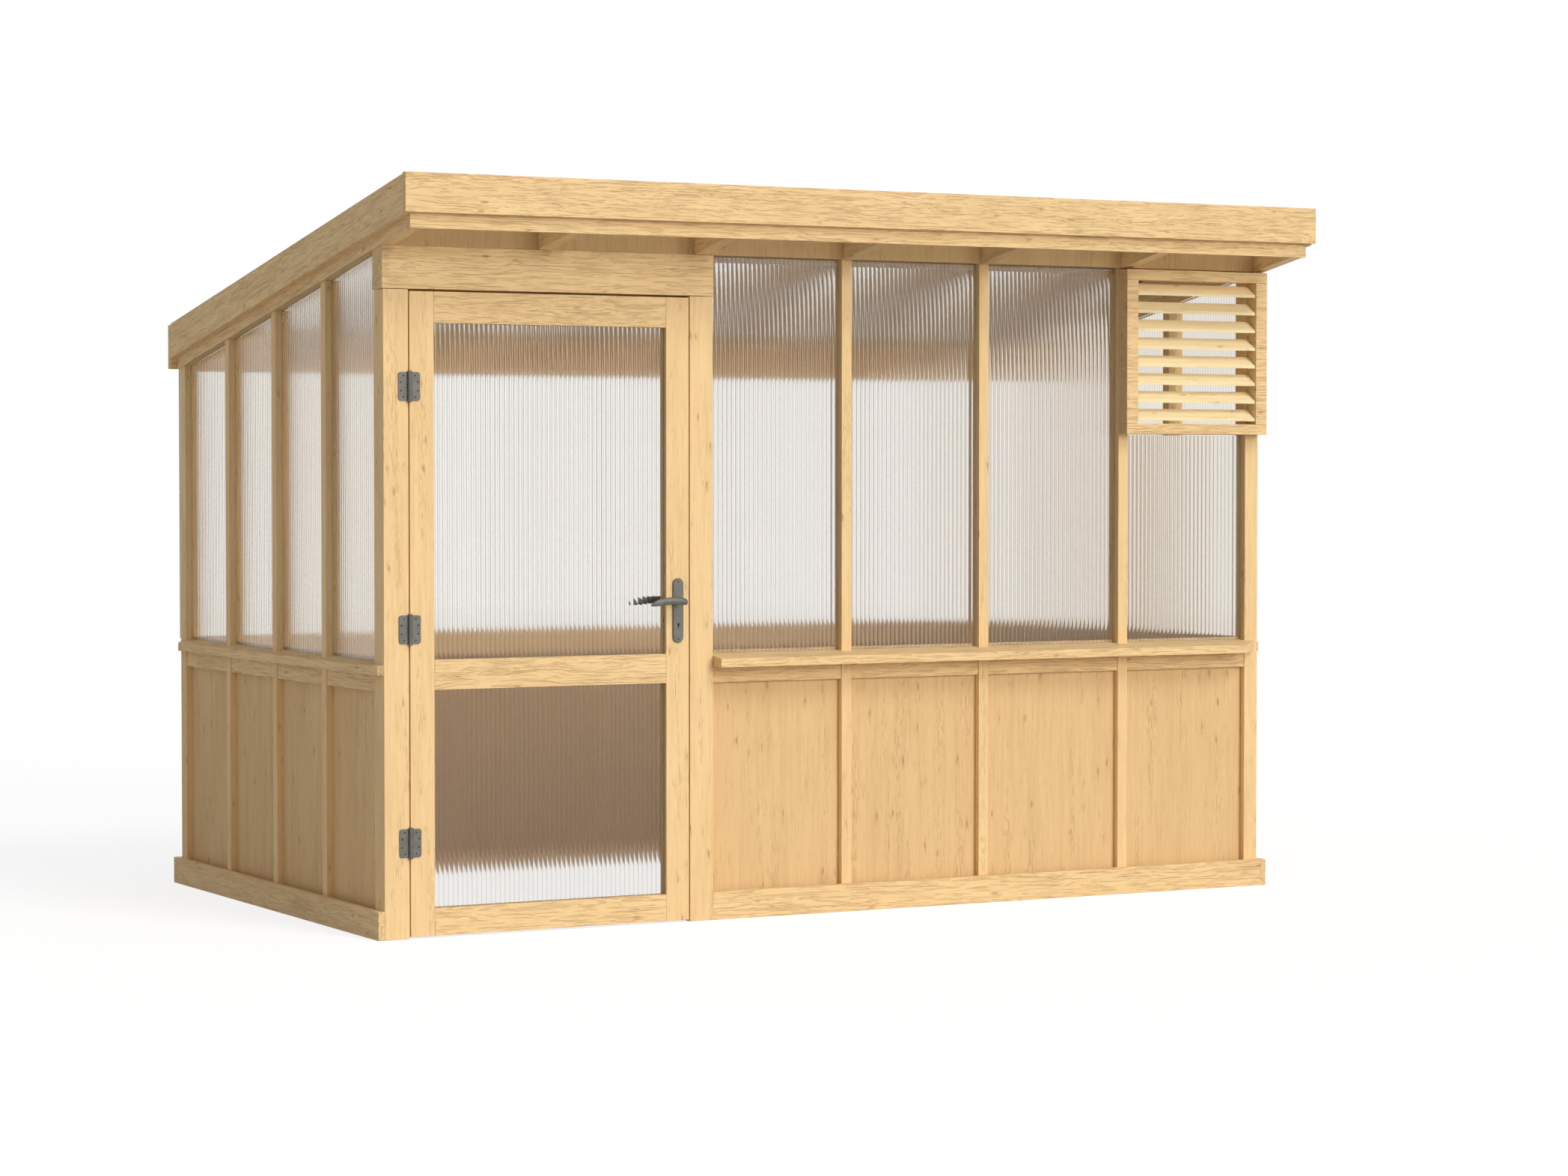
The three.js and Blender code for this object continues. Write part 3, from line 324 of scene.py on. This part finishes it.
def pine(grain, figured, tint="frame"):
    """Planed pine. Figured boards show fine wavy lines in relief, and plain ones straight grain."""
    key = (grain, figured, tint)
    if key in made:
        return made[key]
    g = Graph(bpy.data.materials.new("_".join(("pine", grain, "figured" if figured else "plain", tint))))
    reach, streak_tone, growth_tone, growth_relief = STRENGTHS[figured]
    place = along_grain(g, grain)
    wander = g.math("MULTIPLY", g.noise(stretched(g, place, *WANDER)), reach)
    across = g.math("ADD", place[1], wander)
    ripple = g.noise(stretched(g, place, *RIPPLE))
    phase = g.math("MULTIPLY_ADD", ripple, RIPPLE_TURN, g.math("MULTIPLY", across, 2 * math.pi / RING_WIDTH))
    rings = g.math("MULTIPLY", g.span(g.math("SINE", phase), *RING_LEVELS), mark(g, place, "patch"))
    growth = g.math("MAXIMUM", g.math("MULTIPLY", rings, RING_WEIGHT), mark(g, place, "lines", wander))
    streak, dashes = mark(g, place, "streak", wander), mark(g, place, "dashes", wander)
    fibre = g.noise(stretched(g, place, *FIBRE))
    cloud = g.noise(stretched(g, place, *CLOUD))
    cell = g.add("ShaderNodeTexVoronoi", {"feature": "F1"}, Scale=1.0, Randomness=KNOT_SPREAD,
                 Vector=stretched(g, place, *KNOTS, wander))
    near = cell.outputs["Distance"]
    chosen = g.span(g.split(cell.outputs["Color"])[0], *KNOT_CHOICE)
    knot = g.math("MULTIPLY", g.span(near, *KNOT_CORE), chosen)
    halo = g.math("MULTIPLY", g.span(near, *KNOT_HALO), chosen)
    torn_here = g.math("MAXIMUM", halo, mark(g, place, "row", ROW_SHIFT))
    crackle = g.math("MULTIPLY", mark(g, place, "torn"), torn_here)
    base, line, dark = (shade(colour, TINTS[tint]) for colour in (PINE, PINE_LINE, PINE_KNOT))
    warm = g.blend(g.math("MULTIPLY", g.span(cloud, *WARM_LEVELS), TONES["warm"]), base, line)
    streaked = g.blend(g.math("MULTIPLY", streak, streak_tone), warm, line)
    lined = g.blend(g.math("MULTIPLY", growth, growth_tone), streaked, line)
    dashed = g.blend(g.math("MULTIPLY", dashes, TONES["dashes"]), lined, line)
    marked = g.blend(g.math("MULTIPLY", crackle, TONES["crackle"]), dashed, line)
    colour = g.blend(g.math("MULTIPLY", knot, TONES["knot"]), marked, dark)
    height = g.math("MULTIPLY_ADD", growth, growth_relief, g.math("MULTIPLY", fibre, RELIEF["fibre"]))
    for name, value in (("dashes", dashes), ("crackle", crackle), ("knot", knot)):
        height = g.math("MULTIPLY_ADD", value, RELIEF[name], height)
    bump = g.add("ShaderNodeBump", Strength=1.0, Distance=RELIEF_DEPTH, Height=height)
    shader = g.add("ShaderNodeBsdfPrincipled", Base_Color=colour, Roughness=g.span(cloud, *PINE_ROUGHNESS),
                   Normal=bump.outputs[0], Specular_IOR_Level=PINE_SPECULAR)
    made[key] = g.output(shader)
    return made[key]


# Fluted twin-wall sheet: clear channels that each act as an upright lens, with a web between two

SHEET_WEB = (0.52, 0.50, 0.47, 1)
WEB_LEVELS = (0.34, 0.5)  # from the middle of a channel to its edge, as shares of its width
WAVER = 0.0004  # how far a channel strays
WAVER_REPEATS = (30.0, 2.5)  # per metre across the channels and along them
SHEET_SPECULAR = 0.2


def fluted(name):
    """Clear sheet whose channels are counted along one axis."""
    if name in made:
        return made[name]
    across, lens, light, bend, haze, dark, pale = SHEETS[name]
    g = Graph(bpy.data.materials.new(f"fluted_sheet_{name}"))
    place = g.split(g.add("ShaderNodeTexCoord").outputs["Object"])
    run = place["xyz".index(across)]
    often, seldom = (g.math("MULTIPLY", value, scale) for value, scale in zip((run, place[2]), WAVER_REPEATS))
    waver = g.noise(g.vector(often, 0.0, seldom), 1.0, 1.0)
    count = g.math("DIVIDE", g.math("MULTIPLY_ADD", waver, WAVER, run), FLUTE)
    within = g.math("SUBTRACT", g.math("FRACT", count), 0.5)
    surface = g.add("ShaderNodeNewGeometry").outputs
    outside = g.math("SUBTRACT", 1.0, surface["Backfacing"])
    tilt = g.math("MULTIPLY", g.math("MULTIPLY", within, 2 * lens), outside)
    lean = g.vector(tilt, 0.0, 0.0) if across == "x" else g.vector(0.0, tilt, 0.0)
    tilted = g.add("ShaderNodeVectorMath", {"operation": "ADD"})
    g.fill(tilted, tilted.inputs, (surface["Normal"], lean))
    bent = g.add("ShaderNodeVectorMath", {"operation": "NORMALIZE"}, Vector=tilted.outputs[0])
    web = g.math("MULTIPLY", g.span(g.math("ABSOLUTE", within), *WEB_LEVELS), outside)
    # The sheet's tone, darkened as painted shade on the side and roof sheets, with the webs' darker lines.
    body = g.blend(g.math("MULTIPLY", web, dark), pale, SHEET_WEB)
    clear = g.add("ShaderNodeBsdfPrincipled", Base_Color=body, Roughness=haze, IOR=bend,
                  Normal=bent.outputs[0], Transmission_Weight=1.0, Specular_IOR_Level=SHEET_SPECULAR)
    through = g.add("ShaderNodeBsdfTransparent", Color=(light, light, light, 1))
    in_shadow = g.add("ShaderNodeLightPath").outputs["Is Shadow Ray"]
    made[name] = g.output(g.choose(in_shadow, clear, through))
    return made[name]


# Metal

MOTTLE = (420.0, 4.0)  # repeats per metre, and detail
MOTTLE_LEVELS = (0.3, 0.7)
MOTTLE_ROUGHNESS = 0.06  # how far it moves the roughness
WEAR = (38.0, 2.0)
WEAR_LEVELS = (0.35, 0.75)
METAL_BUMP = (0.25, 0.0002)  # strength and depth


def metal(name, colour, roughness, metallic, wear):
    """Metal with a fine mottle, smoother and paler where it is worn."""
    g = Graph(bpy.data.materials.new(name))
    place = g.add("ShaderNodeTexCoord").outputs["Object"]
    mottle = g.noise(place, *MOTTLE)
    pale = tuple(min(1.0, channel * wear) for channel in colour[:3]) + (1,)
    tone = g.blend(g.span(g.noise(place, *WEAR), *WEAR_LEVELS), colour, pale)
    strength, depth = METAL_BUMP
    bump = g.add("ShaderNodeBump", Strength=strength, Distance=depth, Height=mottle)
    rough = g.span(mottle, *MOTTLE_LEVELS, roughness - MOTTLE_ROUGHNESS, roughness + MOTTLE_ROUGHNESS)
    shader = g.add("ShaderNodeBsdfPrincipled", Base_Color=tone, Metallic=metallic, Roughness=rough,
                   Normal=bump.outputs[0])
    return g.output(shader)


# Boards

BOX_FACES = ((0, 1, 3, 2), (4, 6, 7, 5), (0, 4, 5, 1), (2, 3, 7, 6), (0, 2, 6, 4), (1, 5, 7, 3))


def dress(piece, body, material):
    piece.data.materials.clear()
    piece.data.materials.append(material)
    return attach(piece, body)


def board(name, start, end, node, grain, figured=True, slope=0.0, foot_slopes=False, tint="frame"):
    """A timber board between two corners, with rounded edges, for a part of a CAD node if one is named.

    Where slope is given, the top rises by it along Y up to the second corner's height, and so does the
    foot where foot_slopes is set.
    """
    lo = Vector(min(pair) for pair in zip(start, end)) + Vector((SKIM, SKIM, SKIM))
    hi = Vector(max(pair) for pair in zip(start, end)) - Vector((SKIM, SKIM, SKIM))
    middle = (lo + hi) / 2
    mesh = bpy.data.meshes.new(name)
    bm = bmesh.new()
    corners = []
    for x in (lo.x, hi.x):
        for y in (lo.y, hi.y):
            for z in (lo.z, hi.z):
                corner = Vector((x, y, z))
                if z == hi.z or foot_slopes:
                    corner.z += slope * (corner.y - hi.y)
                corners.append(bm.verts.new(corner - middle))
    for face in BOX_FACES:
        bm.faces.new([corners[i] for i in face])
    bmesh.ops.recalc_face_normals(bm, faces=bm.faces)
    bmesh.ops.bevel(bm, geom=bm.edges[:], offset=EDGE, segments=EDGE_SEGMENTS, profile=0.5, affect="EDGES")
    bm.to_mesh(mesh)
    bm.free()
    piece = bpy.data.objects.new(name, mesh)
    piece.location = middle
    bpy.context.scene.collection.objects.link(piece)
    if node:
        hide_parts(node)
    return dress(piece, "greenhouse", pine(grain, figured, tint))


# Lines that the boards keep to, all from the frame's boxes

ground_front = low("plinth_front").y - SKIM
front_face = high("plinth_front").y + SKIM
back_face = low("plinth_back").y - SKIM
left_face = high("plinth_left").x + SKIM
right_face = low("plinth_right").x - SKIM
front_top = high("front_pane_1").z + SKIM + LAP
header_bottom = high("door_post_left").z + SKIM
glass_bottom = low("front_pane_1").z - SKIM
sill_bottom = low("front_sill").z - SKIM


def roofline(y):
    """Underside of the rafters above a line across the roof."""
    return front_top + ROOF_SLOPE * (y - ground_front)


back_top = roofline(back_face - WALL)


class Wall:
    """One wall, drawn along axis u with v running inwards from the face of its posts."""

    def __init__(self, name, axis, face, inward, posts, start, end):
        self.name, self.axis, self.face, self.inward, self.posts = name, axis, face, inward, posts
        stops = [(start, start), *posts, (end, end)]
        gaps = [(before[1], after[0]) for before, after in zip(stops, stops[1:])]
        self.bays = [gap for gap in gaps if gap[1] - gap[0] > GROOVE]

    def put(self, label, u, v, z, grain=None, figured=True, slope=0.0, tint="frame"):
        """A board of this wall, from its spans along u, v and z."""
        depth = [self.face + self.inward * value for value in v]
        if self.axis == "x":
            ends = [(u[i], depth[i], z[i]) for i in (0, 1)]
        else:
            ends = [(depth[i], u[i], z[i]) for i in (0, 1)]
        board(f"{self.name}_{label}", *ends, f"{self.name}_wall_panel", grain or self.axis, figured, slope,
              False, tint)

    def build(self, top, covers):
        """All boards below the glazing, and the posts, which end at top(place along the wall)."""
        for i, post in enumerate(self.posts):
            raked = self.axis == "y" and top(post[1]) > back_top
            slope = ROOF_SLOPE if raked else 0.0
            self.put(f"post_{i + 1}", post, (0, WALL), (0, top(post[1])), "z", False, slope)
        behind_pane, behind_boarding = (INFILL + PANE, WALL), (INFILL + BOARDING, WALL)
        rail_top = glass_bottom + SILL_RAIL_RISE
        for i, bay in enumerate(self.bays):
            self.put(f"bottom_rail_{i + 1}", bay, behind_boarding, (0, BOTTOM_RAIL))
            self.put(f"sill_rail_{i + 1}", bay, behind_boarding, (rail_top - SILL_RAIL, glass_bottom))
            self.put(f"sill_cap_{i + 1}", bay, behind_pane, (glass_bottom, rail_top))
            # The back wall's boarding takes a darker tint: painted shade for the shade inside the greenhouse.
            self.put(f"boarding_{i + 1}", bay, (INFILL, INFILL + BOARDING), (0, glass_bottom), "z", False,
                     tint="board" if covers else "back")
            if covers:
                self.put(f"cover_{i + 1}", bay, (FRIEZE_RECESS, INFILL), (sill_bottom - FRIEZE, sill_bottom))

    def top_plates(self, top):
        for i, bay in enumerate(self.bays):
            self.put(f"top_plate_{i + 1}", bay, (INFILL + PANE, WALL), (top - TOP_PLATE, top))


def between_panes(name, axis):
    """The posts that stand between the panes of a wall, from the panes' own edges."""
    boxes = sorted((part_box(f"{name}_pane_{i + 1}") for i in range(PANES)), key=lambda box: box[0][axis])
    return [(a[1][axis] + SKIM - GROOVE, b[0][axis] - SKIM + GROOVE) for a, b in zip(boxes, boxes[1:])]


def front_wall():
    start = high("door_post_right").x + SKIM
    posts = [*between_panes("front", 0), (right_face - CORNER_POST, right_face)]
    wall = Wall("front", "x", front_face, 1, posts, start, right_face)
    wall.build(lambda u: front_top, True)
    wall.top_plates(front_top)
    foot = low("louvre").z - SKIM
    wall.put("transom", wall.bays[-1], (0, WALL), (foot, foot + TRANSOM))


def side_wall(name, face, inward, start):
    corner = (back_face - CORNER_POST, back_face)
    wall = Wall(name, "y", face, inward, [*between_panes(name, 1), corner], start, back_face)
    wall.build(lambda u: max(roofline(u), back_top), True)
    outside = low("fascia_left").x + (high("fascia_left").x - low("fascia_left").x) + 2 * SKIM
    reach = outside - left_face
    rafter = (low("rafter_1").y - SKIM, high("rafter_1").y + SKIM)
    width = high("rafter_1").x - low("rafter_1").x + 2 * SKIM
    ends = [(face + inward * reach, rafter[0], roofline(rafter[1])),
            (face + inward * (reach + width), rafter[1], roofline(rafter[1]) + RAFTER_HEIGHT)]
    board(f"{name}_end_rafter", *ends, f"{name}_wall_panel", "rake", True, ROOF_SLOPE, foot_slopes=True)


def back_wall():
    posts = []
    width = between_panes("front", 0)[0]
    half = (width[1] - width[0]) / 2
    for i in range(RAFTERS):
        middle = (low(f"rafter_{i + 1}").x + high(f"rafter_{i + 1}").x) / 2
        posts.append((middle - half, middle + half))
    wall = Wall("back", "x", back_face, -1, posts, left_face + WALL, right_face - WALL)
    wall.build(lambda u: back_top, False)
    wall.top_plates(back_top)


def header():
    lo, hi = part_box("door_header")
    lo, hi = lo - Vector((SKIM, SKIM, SKIM)), hi + Vector((SKIM, SKIM, SKIM))
    inner = high("door_post_left").y + SKIM
    end = high("door_post_right").x + SKIM - GROOVE
    board("header_face", (lo.x, lo.y, header_bottom + JOINT), (hi.x, front_face, front_top),
          "door_header", "x")
    board("header_core", (lo.x, front_face, header_bottom), (end, inner, front_top), "door_header", "x")
    board("header_stop", (high("door_post_left").x + SKIM, inner - STOP_DEPTH, lo.z),
          (low("door_post_right").x - SKIM, inner, header_bottom), "door_header", "x")


def rafter_blocks():
    """Blocks that close the spaces between the rafters above the front wall."""
    width = high("rafter_1").x - low("rafter_1").x + 2 * SKIM
    first = high("fascia_left").x + SKIM
    last = low("fascia_right").x - SKIM
    spans = [(first, first + width)]
    spans += [(low(f"rafter_{i + 1}").x - SKIM, high(f"rafter_{i + 1}").x + SKIM) for i in range(RAFTERS)]
    spans.append((last - width, last))
    near, far = front_face - BLOCK_OUT, front_face - BLOCK_OUT + BLOCK
    top = roofline(far) + RAFTER_HEIGHT
    for i, (before, after) in enumerate(zip(spans, spans[1:])):
        node = "door_header" if after[1] < high("door_header").x + width else "front_wall_panel"
        # The blocks take a darker tint: painted shade for the shadow of the eaves over them.
        board(f"block_{i + 1}", (before[1], near, front_top), (after[0], far, top), node, "z", False,
              ROOF_SLOPE, tint="eaves_shade")


def louvre():
    lo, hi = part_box("louvre")
    lo, hi = lo - Vector((SKIM, SKIM, SKIM)), hi + Vector((SKIM, SKIM, SKIM))
    inner_left, inner_right = lo.x + LOUVRE_STILE, hi.x - LOUVRE_STILE
    foot, head = lo.z + LOUVRE_RAIL, hi.z - LOUVRE_RAIL
    board("louvre_bottom_rail", lo, (hi.x, hi.y, foot), "louvre", "x")
    board("louvre_top_rail", (lo.x, lo.y, head), hi, "louvre", "x")
    board("louvre_left_stile", (lo.x, lo.y, foot), (inner_left, hi.y, head), "louvre", "x")
    board("louvre_right_stile", (inner_right, lo.y, foot), (hi.x, hi.y, head), "louvre", "x")
    pitch = (head - foot) / SLATS
    tall = SLAT_RISE + SLAT_THICKNESS
    near = (lo.y + hi.y - SLAT_DEPTH) / 2
    for i in range(SLATS):
        base = foot + i * pitch + (pitch - tall) / 2
        # The slats take a paler tint: painted light for the strong light on their upturned faces.
        board(f"louvre_slat_{i + 1}", (inner_left, near, base + SLAT_RISE),
              (inner_right, near + SLAT_DEPTH, base + tall), "louvre", "x", False,
              SLAT_RISE / SLAT_DEPTH, foot_slopes=True, tint="slat")


def roof_battens():
    """Strips over the rafters that hold the roof sheet down."""
    lo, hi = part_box("roof_sheet")
    near, far = lo.y + BATTEN_END, hi.y - BATTEN_END
    foot = hi.z + SKIM + ROOF_SLOPE * (far - lo.y)
    width, height = BATTEN
    middles = [(low(f"rafter_{i + 1}").x + high(f"rafter_{i + 1}").x) / 2 for i in range(RAFTERS)]
    middles = [lo.x + width / 2 + BATTEN_END, *middles, hi.x - width / 2 - BATTEN_END]
    for i, x in enumerate(middles):
        board(f"roof_batten_{i + 1}", (x - width / 2, near, foot), (x + width / 2, far, foot + height), None,
              "rake", False, ROOF_SLOPE, foot_slopes=True)


front_wall()
side_wall("left", left_face, 1, high("door_post_left").y + SKIM)
side_wall("right", right_face, -1, front_face + WALL)
back_wall()
header()
rafter_blocks()
louvre()
roof_battens()


# CAD nodes that keep their shape

def round_edges(piece, width):
    """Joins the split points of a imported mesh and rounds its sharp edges."""
    weld = piece.modifiers.new("weld", "WELD")
    weld.merge_threshold = WELD_GAP
    bevel = piece.modifiers.new("edges", "BEVEL")
    bevel.width = width
    bevel.segments = EDGE_SEGMENTS
    bevel.limit_method = "ANGLE"


def dress_node(node, material, width=0.0):
    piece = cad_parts[node]
    piece.data.materials.clear()
    piece.data.materials.append(material)
    if width:
        round_edges(piece, width)


GRAIN = {
    ("x", True): ["plinth_front", "plinth_back", "fascia_front", "fascia_back", "eaves_trim", "front_sill",
                  "door_bottom_rail", "door_middle_rail", "door_top_rail"],
    ("y", True): ["plinth_left", "plinth_right", "left_sill", "right_sill"],
    ("rake", True): ["fascia_left", "fascia_right", *(f"rafter_{i + 1}" for i in range(RAFTERS))],
    ("z", False): ["door_post_left", "door_post_right", "door_hinge_stile", "door_lock_stile"],
}
for (grain, figured), names in GRAIN.items():
    for name in names:
        dress_node(name, pine(grain, figured), EDGE)

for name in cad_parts:
    if name in ("roof_sheet", "back_sheet"):
        dress_node(name, fluted(name.split("_")[0]))
    elif "_pane" in name:
        dress_node(name, fluted("side" if name.startswith(("left", "right")) else "front"))

dark_metal = metal("dark_metal", *DARK_METAL)
screw_steel = metal("screw_steel", *SCREW_STEEL)
lock_steel = metal("lock_steel", *LOCK_STEEL)
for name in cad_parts:
    if name.startswith(("hinge", "backplate")):
        dress_node(name, dark_metal, FITTING_EDGE)
for name in ("lock_case", "latch", "deadbolt", "strike_plate"):
    dress_node(name, lock_steel, LOCK_EDGE)


# Smooth levers, and screws in the holes of the hinges and plates

# Rings along the bar, each its place, droop, height and thickness as shares
LEVER_RINGS = (
    (0.0, 0.38, 0.22, 0.25), (0.01, 0.34, 0.5, 0.55), (0.035, 0.29, 0.78, 0.82), (0.1, 0.18, 0.94, 1.0),
    (0.25, 0.04, 1.0, 1.0), (0.45, 0.0, 0.98, 0.96), (0.63, 0.13, 0.96, 0.9), (0.8, 0.42, 0.88, 0.78),
    (0.89, 0.66, 0.68, 0.62), (0.96, 0.9, 0.4, 0.42), (0.99, 0.98, 0.2, 0.22),
)
AROUND = 20  # points in a ring


def loft(bm, rings):
    """Closed skin over rings of points, all with the same number of points."""
    rows = [[bm.verts.new(point) for point in ring] for ring in rings]
    for row, following in zip(rows, rows[1:]):
        for i, corner in enumerate(row):
            j = (i + 1) % len(row)
            bm.faces.new((corner, following[i], following[j], row[j]))
    bm.faces.new(rows[0])
    bm.faces.new(reversed(rows[-1]))


def ring_about(centre, along, radius, lobes=0.0):
    """Points round an axis along Y; lobes draw them into a cross."""
    ring = []
    for i in range(AROUND):
        angle = 2 * math.pi * i / AROUND
        reach = radius * (1 + lobes * math.cos(CROSS_ARMS * angle))
        ring.append(centre + Vector((reach * math.cos(angle), along, reach * math.sin(angle))))
    return ring


def finish_mesh(name, bm, material, smooth=True):
    bmesh.ops.recalc_face_normals(bm, faces=bm.faces)
    mesh = bpy.data.meshes.new(name)
    bm.to_mesh(mesh)
    bm.free()
    for face in mesh.polygons:
        face.use_smooth = smooth
    piece = bpy.data.objects.new(name, mesh)
    bpy.context.scene.collection.objects.link(piece)
    piece.data.materials.append(material)
    return piece


def lever(name, plate, side):
    """Curved lever with its neck and collar; side is -1 outside the door and 1 inside."""
    lo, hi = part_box(name)
    bar = (lo.y if side < 0 else hi.y) - side * LEVER_THICKNESS / 2
    face = low(plate).y if side < 0 else high(plate).y
    centre = Vector((hi.x - LEVER_HEEL, 0.0, hi.z - LEVER_HEIGHT / 2))
    bm = bmesh.new()
    rings = []
    for along, droop, tall, thick in LEVER_RINGS:
        middle = Vector((hi.x - along * LEVER_LENGTH, bar, centre.z - droop * LEVER_DROOP))
        angles = [2 * math.pi * i / AROUND for i in range(AROUND)]
        rings.append([middle + Vector((0.0, math.cos(angle) * thick * LEVER_THICKNESS / 2,
                                       math.sin(angle) * tall * LEVER_HEIGHT / 2)) for angle in angles])
    loft(bm, rings)
    foot = face + side * SKIM
    steps = [(foot, COLLAR_RADIUS), (foot + side * COLLAR_LENGTH, COLLAR_RADIUS),
             (foot + side * COLLAR_LENGTH, NECK_RADIUS), (bar, NECK_RADIUS)]
    loft(bm, [ring_about(centre, along, radius) for along, radius in steps])
    piece = finish_mesh(f"{name}_smooth", bm, dark_metal)
    round_edges(piece, EDGE / 2)
    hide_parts(name)
    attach(piece, "handle")


def screws(name, body, face, outward, places):
    """Screw heads with a cross recess, sunk in the holes of a fitting that faces along Y."""
    bm = bmesh.new()
    top = face - outward * SCREW_SUNK
    floor_of_recess = top - outward * SCREW_RECESS
    for x, z in places:
        centre = Vector((x, 0.0, z))
        loft(bm, [ring_about(centre, floor_of_recess - outward * SCREW_RECESS, SCREW_RADIUS),
                  ring_about(centre, top, SCREW_RADIUS),
                  ring_about(centre, top, SCREW_RADIUS * SCREW_CROSS, CROSS_LOBES),
                  ring_about(centre, floor_of_recess, SCREW_RADIUS * SCREW_CROSS, CROSS_LOBES)])
    piece = finish_mesh(name, bm, screw_steel, False)
    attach(piece, body)


def hinge_screws():
    for i in range(HINGES):
        door_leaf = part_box(f"hinge_{i + 1}_door_leaf")
        middle = (door_leaf[0].z + door_leaf[1].z) / 2
        reach = (door_leaf[1].z - door_leaf[0].z) / 2 - HINGE_HOLE_END
        face = door_leaf[1].y - HINGE_LEAF
        for half, body in (("post", "greenhouse"), ("door", "door")):
            lo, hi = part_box(f"hinge_{i + 1}_{half}_leaf")
            places = []
            for inset, share in HINGE_HOLES:
                x = lo.x + inset if half == "post" else hi.x - inset
                places += [(x, middle + share * reach), (x, middle - share * reach)]
            screws(f"hinge_{i + 1}_{half}_screws", body, face, -1, places)


def plate_screws():
    for name, outward in (("backplate_outside", -1), ("backplate_inside", 1)):
        lo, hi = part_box(name)
        x = (lo.x + hi.x) / 2
        face = lo.y if outward < 0 else hi.y
        places = [(x, lo.z + PLATE_SCREW_INSET), (x, hi.z - PLATE_SCREW_INSET)]
        screws(f"{name}_screws", "door", face, outward, places)


lever("lever_outside", "backplate_outside", -1)
lever("lever_inside", "backplate_inside", 1)
hinge_screws()
plate_screws()


# Floor, world, light and camera

def shows_white(g):
    """1 for rays that carry a picture of the background to the eye, and 0 for rays that light a surface."""
    path = g.add("ShaderNodeLightPath").outputs
    seen = path["Is Camera Ray"]
    for kind in ("Is Glossy Ray", "Is Transmission Ray"):
        seen = g.math("MAXIMUM", seen, path[kind])
    return g.math("MULTIPLY", seen, g.math("LESS_THAN", path["Diffuse Depth"], 0.5))


def floor():
    g = Graph(bpy.data.materials.new("pale_floor"))
    matt = g.add("ShaderNodeBsdfDiffuse", Color=FLOOR_MATT)
    glow = g.add("ShaderNodeEmission", Color=WHITE, Strength=FLOOR_GLOW)
    faint = g.add("ShaderNodeBsdfDiffuse", Color=FLOOR_FAINT)
    pale = g.add("ShaderNodeAddShader")
    g.fill(pale, pale.inputs, (glow.outputs[0], faint.outputs[0]))
    mesh = bpy.data.meshes.new("floor")
    corners = [(x * FLOOR_REACH, y * FLOOR_REACH, 0) for x, y in ((-1, -1), (1, -1), (1, 1), (-1, 1))]
    mesh.from_pydata(corners, [], [(0, 1, 2, 3)])
    plane = bpy.data.objects.new("floor", mesh)
    plane.data.materials.append(g.output(g.choose(shows_white(g), matt, pale)))
    plane.location.z = -FLOOR_DROP
    bpy.context.scene.collection.objects.link(plane)


def sky():
    """Soft light that is stronger from above and from the front, and plain white to the eye."""
    world = bpy.data.worlds.new("studio")
    bpy.context.scene.world = world
    g = Graph(world)
    _, y, z = g.split(g.add("ShaderNodeTexCoord").outputs["Generated"])
    level = g.span(z, 0.0, 1.0, SKY_LOW, SKY_HIGH, "LINEAR")
    front = g.span(y, -1.0, 0.0, SKY_FRONT, 1.0, "LINEAR")
    lit = g.add("ShaderNodeBackground", Color=SKY_COLOUR, Strength=g.math("MULTIPLY", level, front))
    white = g.add("ShaderNodeBackground", Color=WHITE, Strength=1.0)
    g.output(g.choose(shows_white(g), lit, white), "ShaderNodeOutputWorld")


def suns():
    for name, (strength, height, spread) in SUNS.items():
        light = bpy.data.lights.new(name, "SUN")
        light.energy = strength
        light.color = SUN_COLOUR
        light.angle = math.radians(spread)
        lamp = bpy.data.objects.new(name, light)
        up, side = math.radians(height), math.radians(SUN_SIDE)
        towards = Vector((math.sin(side) * math.cos(up), -math.cos(side) * math.cos(up), math.sin(up)))
        lamp.rotation_euler = towards.to_track_quat("Z", "Y").to_euler()
        lamp.location = towards * FLOOR_REACH
        bpy.context.scene.collection.objects.link(lamp)


def camera():
    data = bpy.data.cameras.new("camera")
    data.sensor_width = SENSOR
    data.lens = FOCAL_LENGTH
    data.clip_end = CAMERA_CLIP
    eye = bpy.data.objects.new("camera", data)
    yaw, pitch = math.radians(CAMERA_YAW), math.radians(CAMERA_PITCH)
    look = Vector((math.sin(yaw) * math.cos(pitch), math.cos(yaw) * math.cos(pitch), math.sin(pitch)))
    eye.rotation_mode = "QUATERNION"
    eye.rotation_quaternion = look.to_track_quat("-Z", "Y")
    eye.location = CAMERA_PLACE
    bpy.context.scene.collection.objects.link(eye)
    bpy.context.scene.camera = eye


floor()
sky()
suns()
camera()
bpy.context.scene.view_settings.view_transform = "Standard"
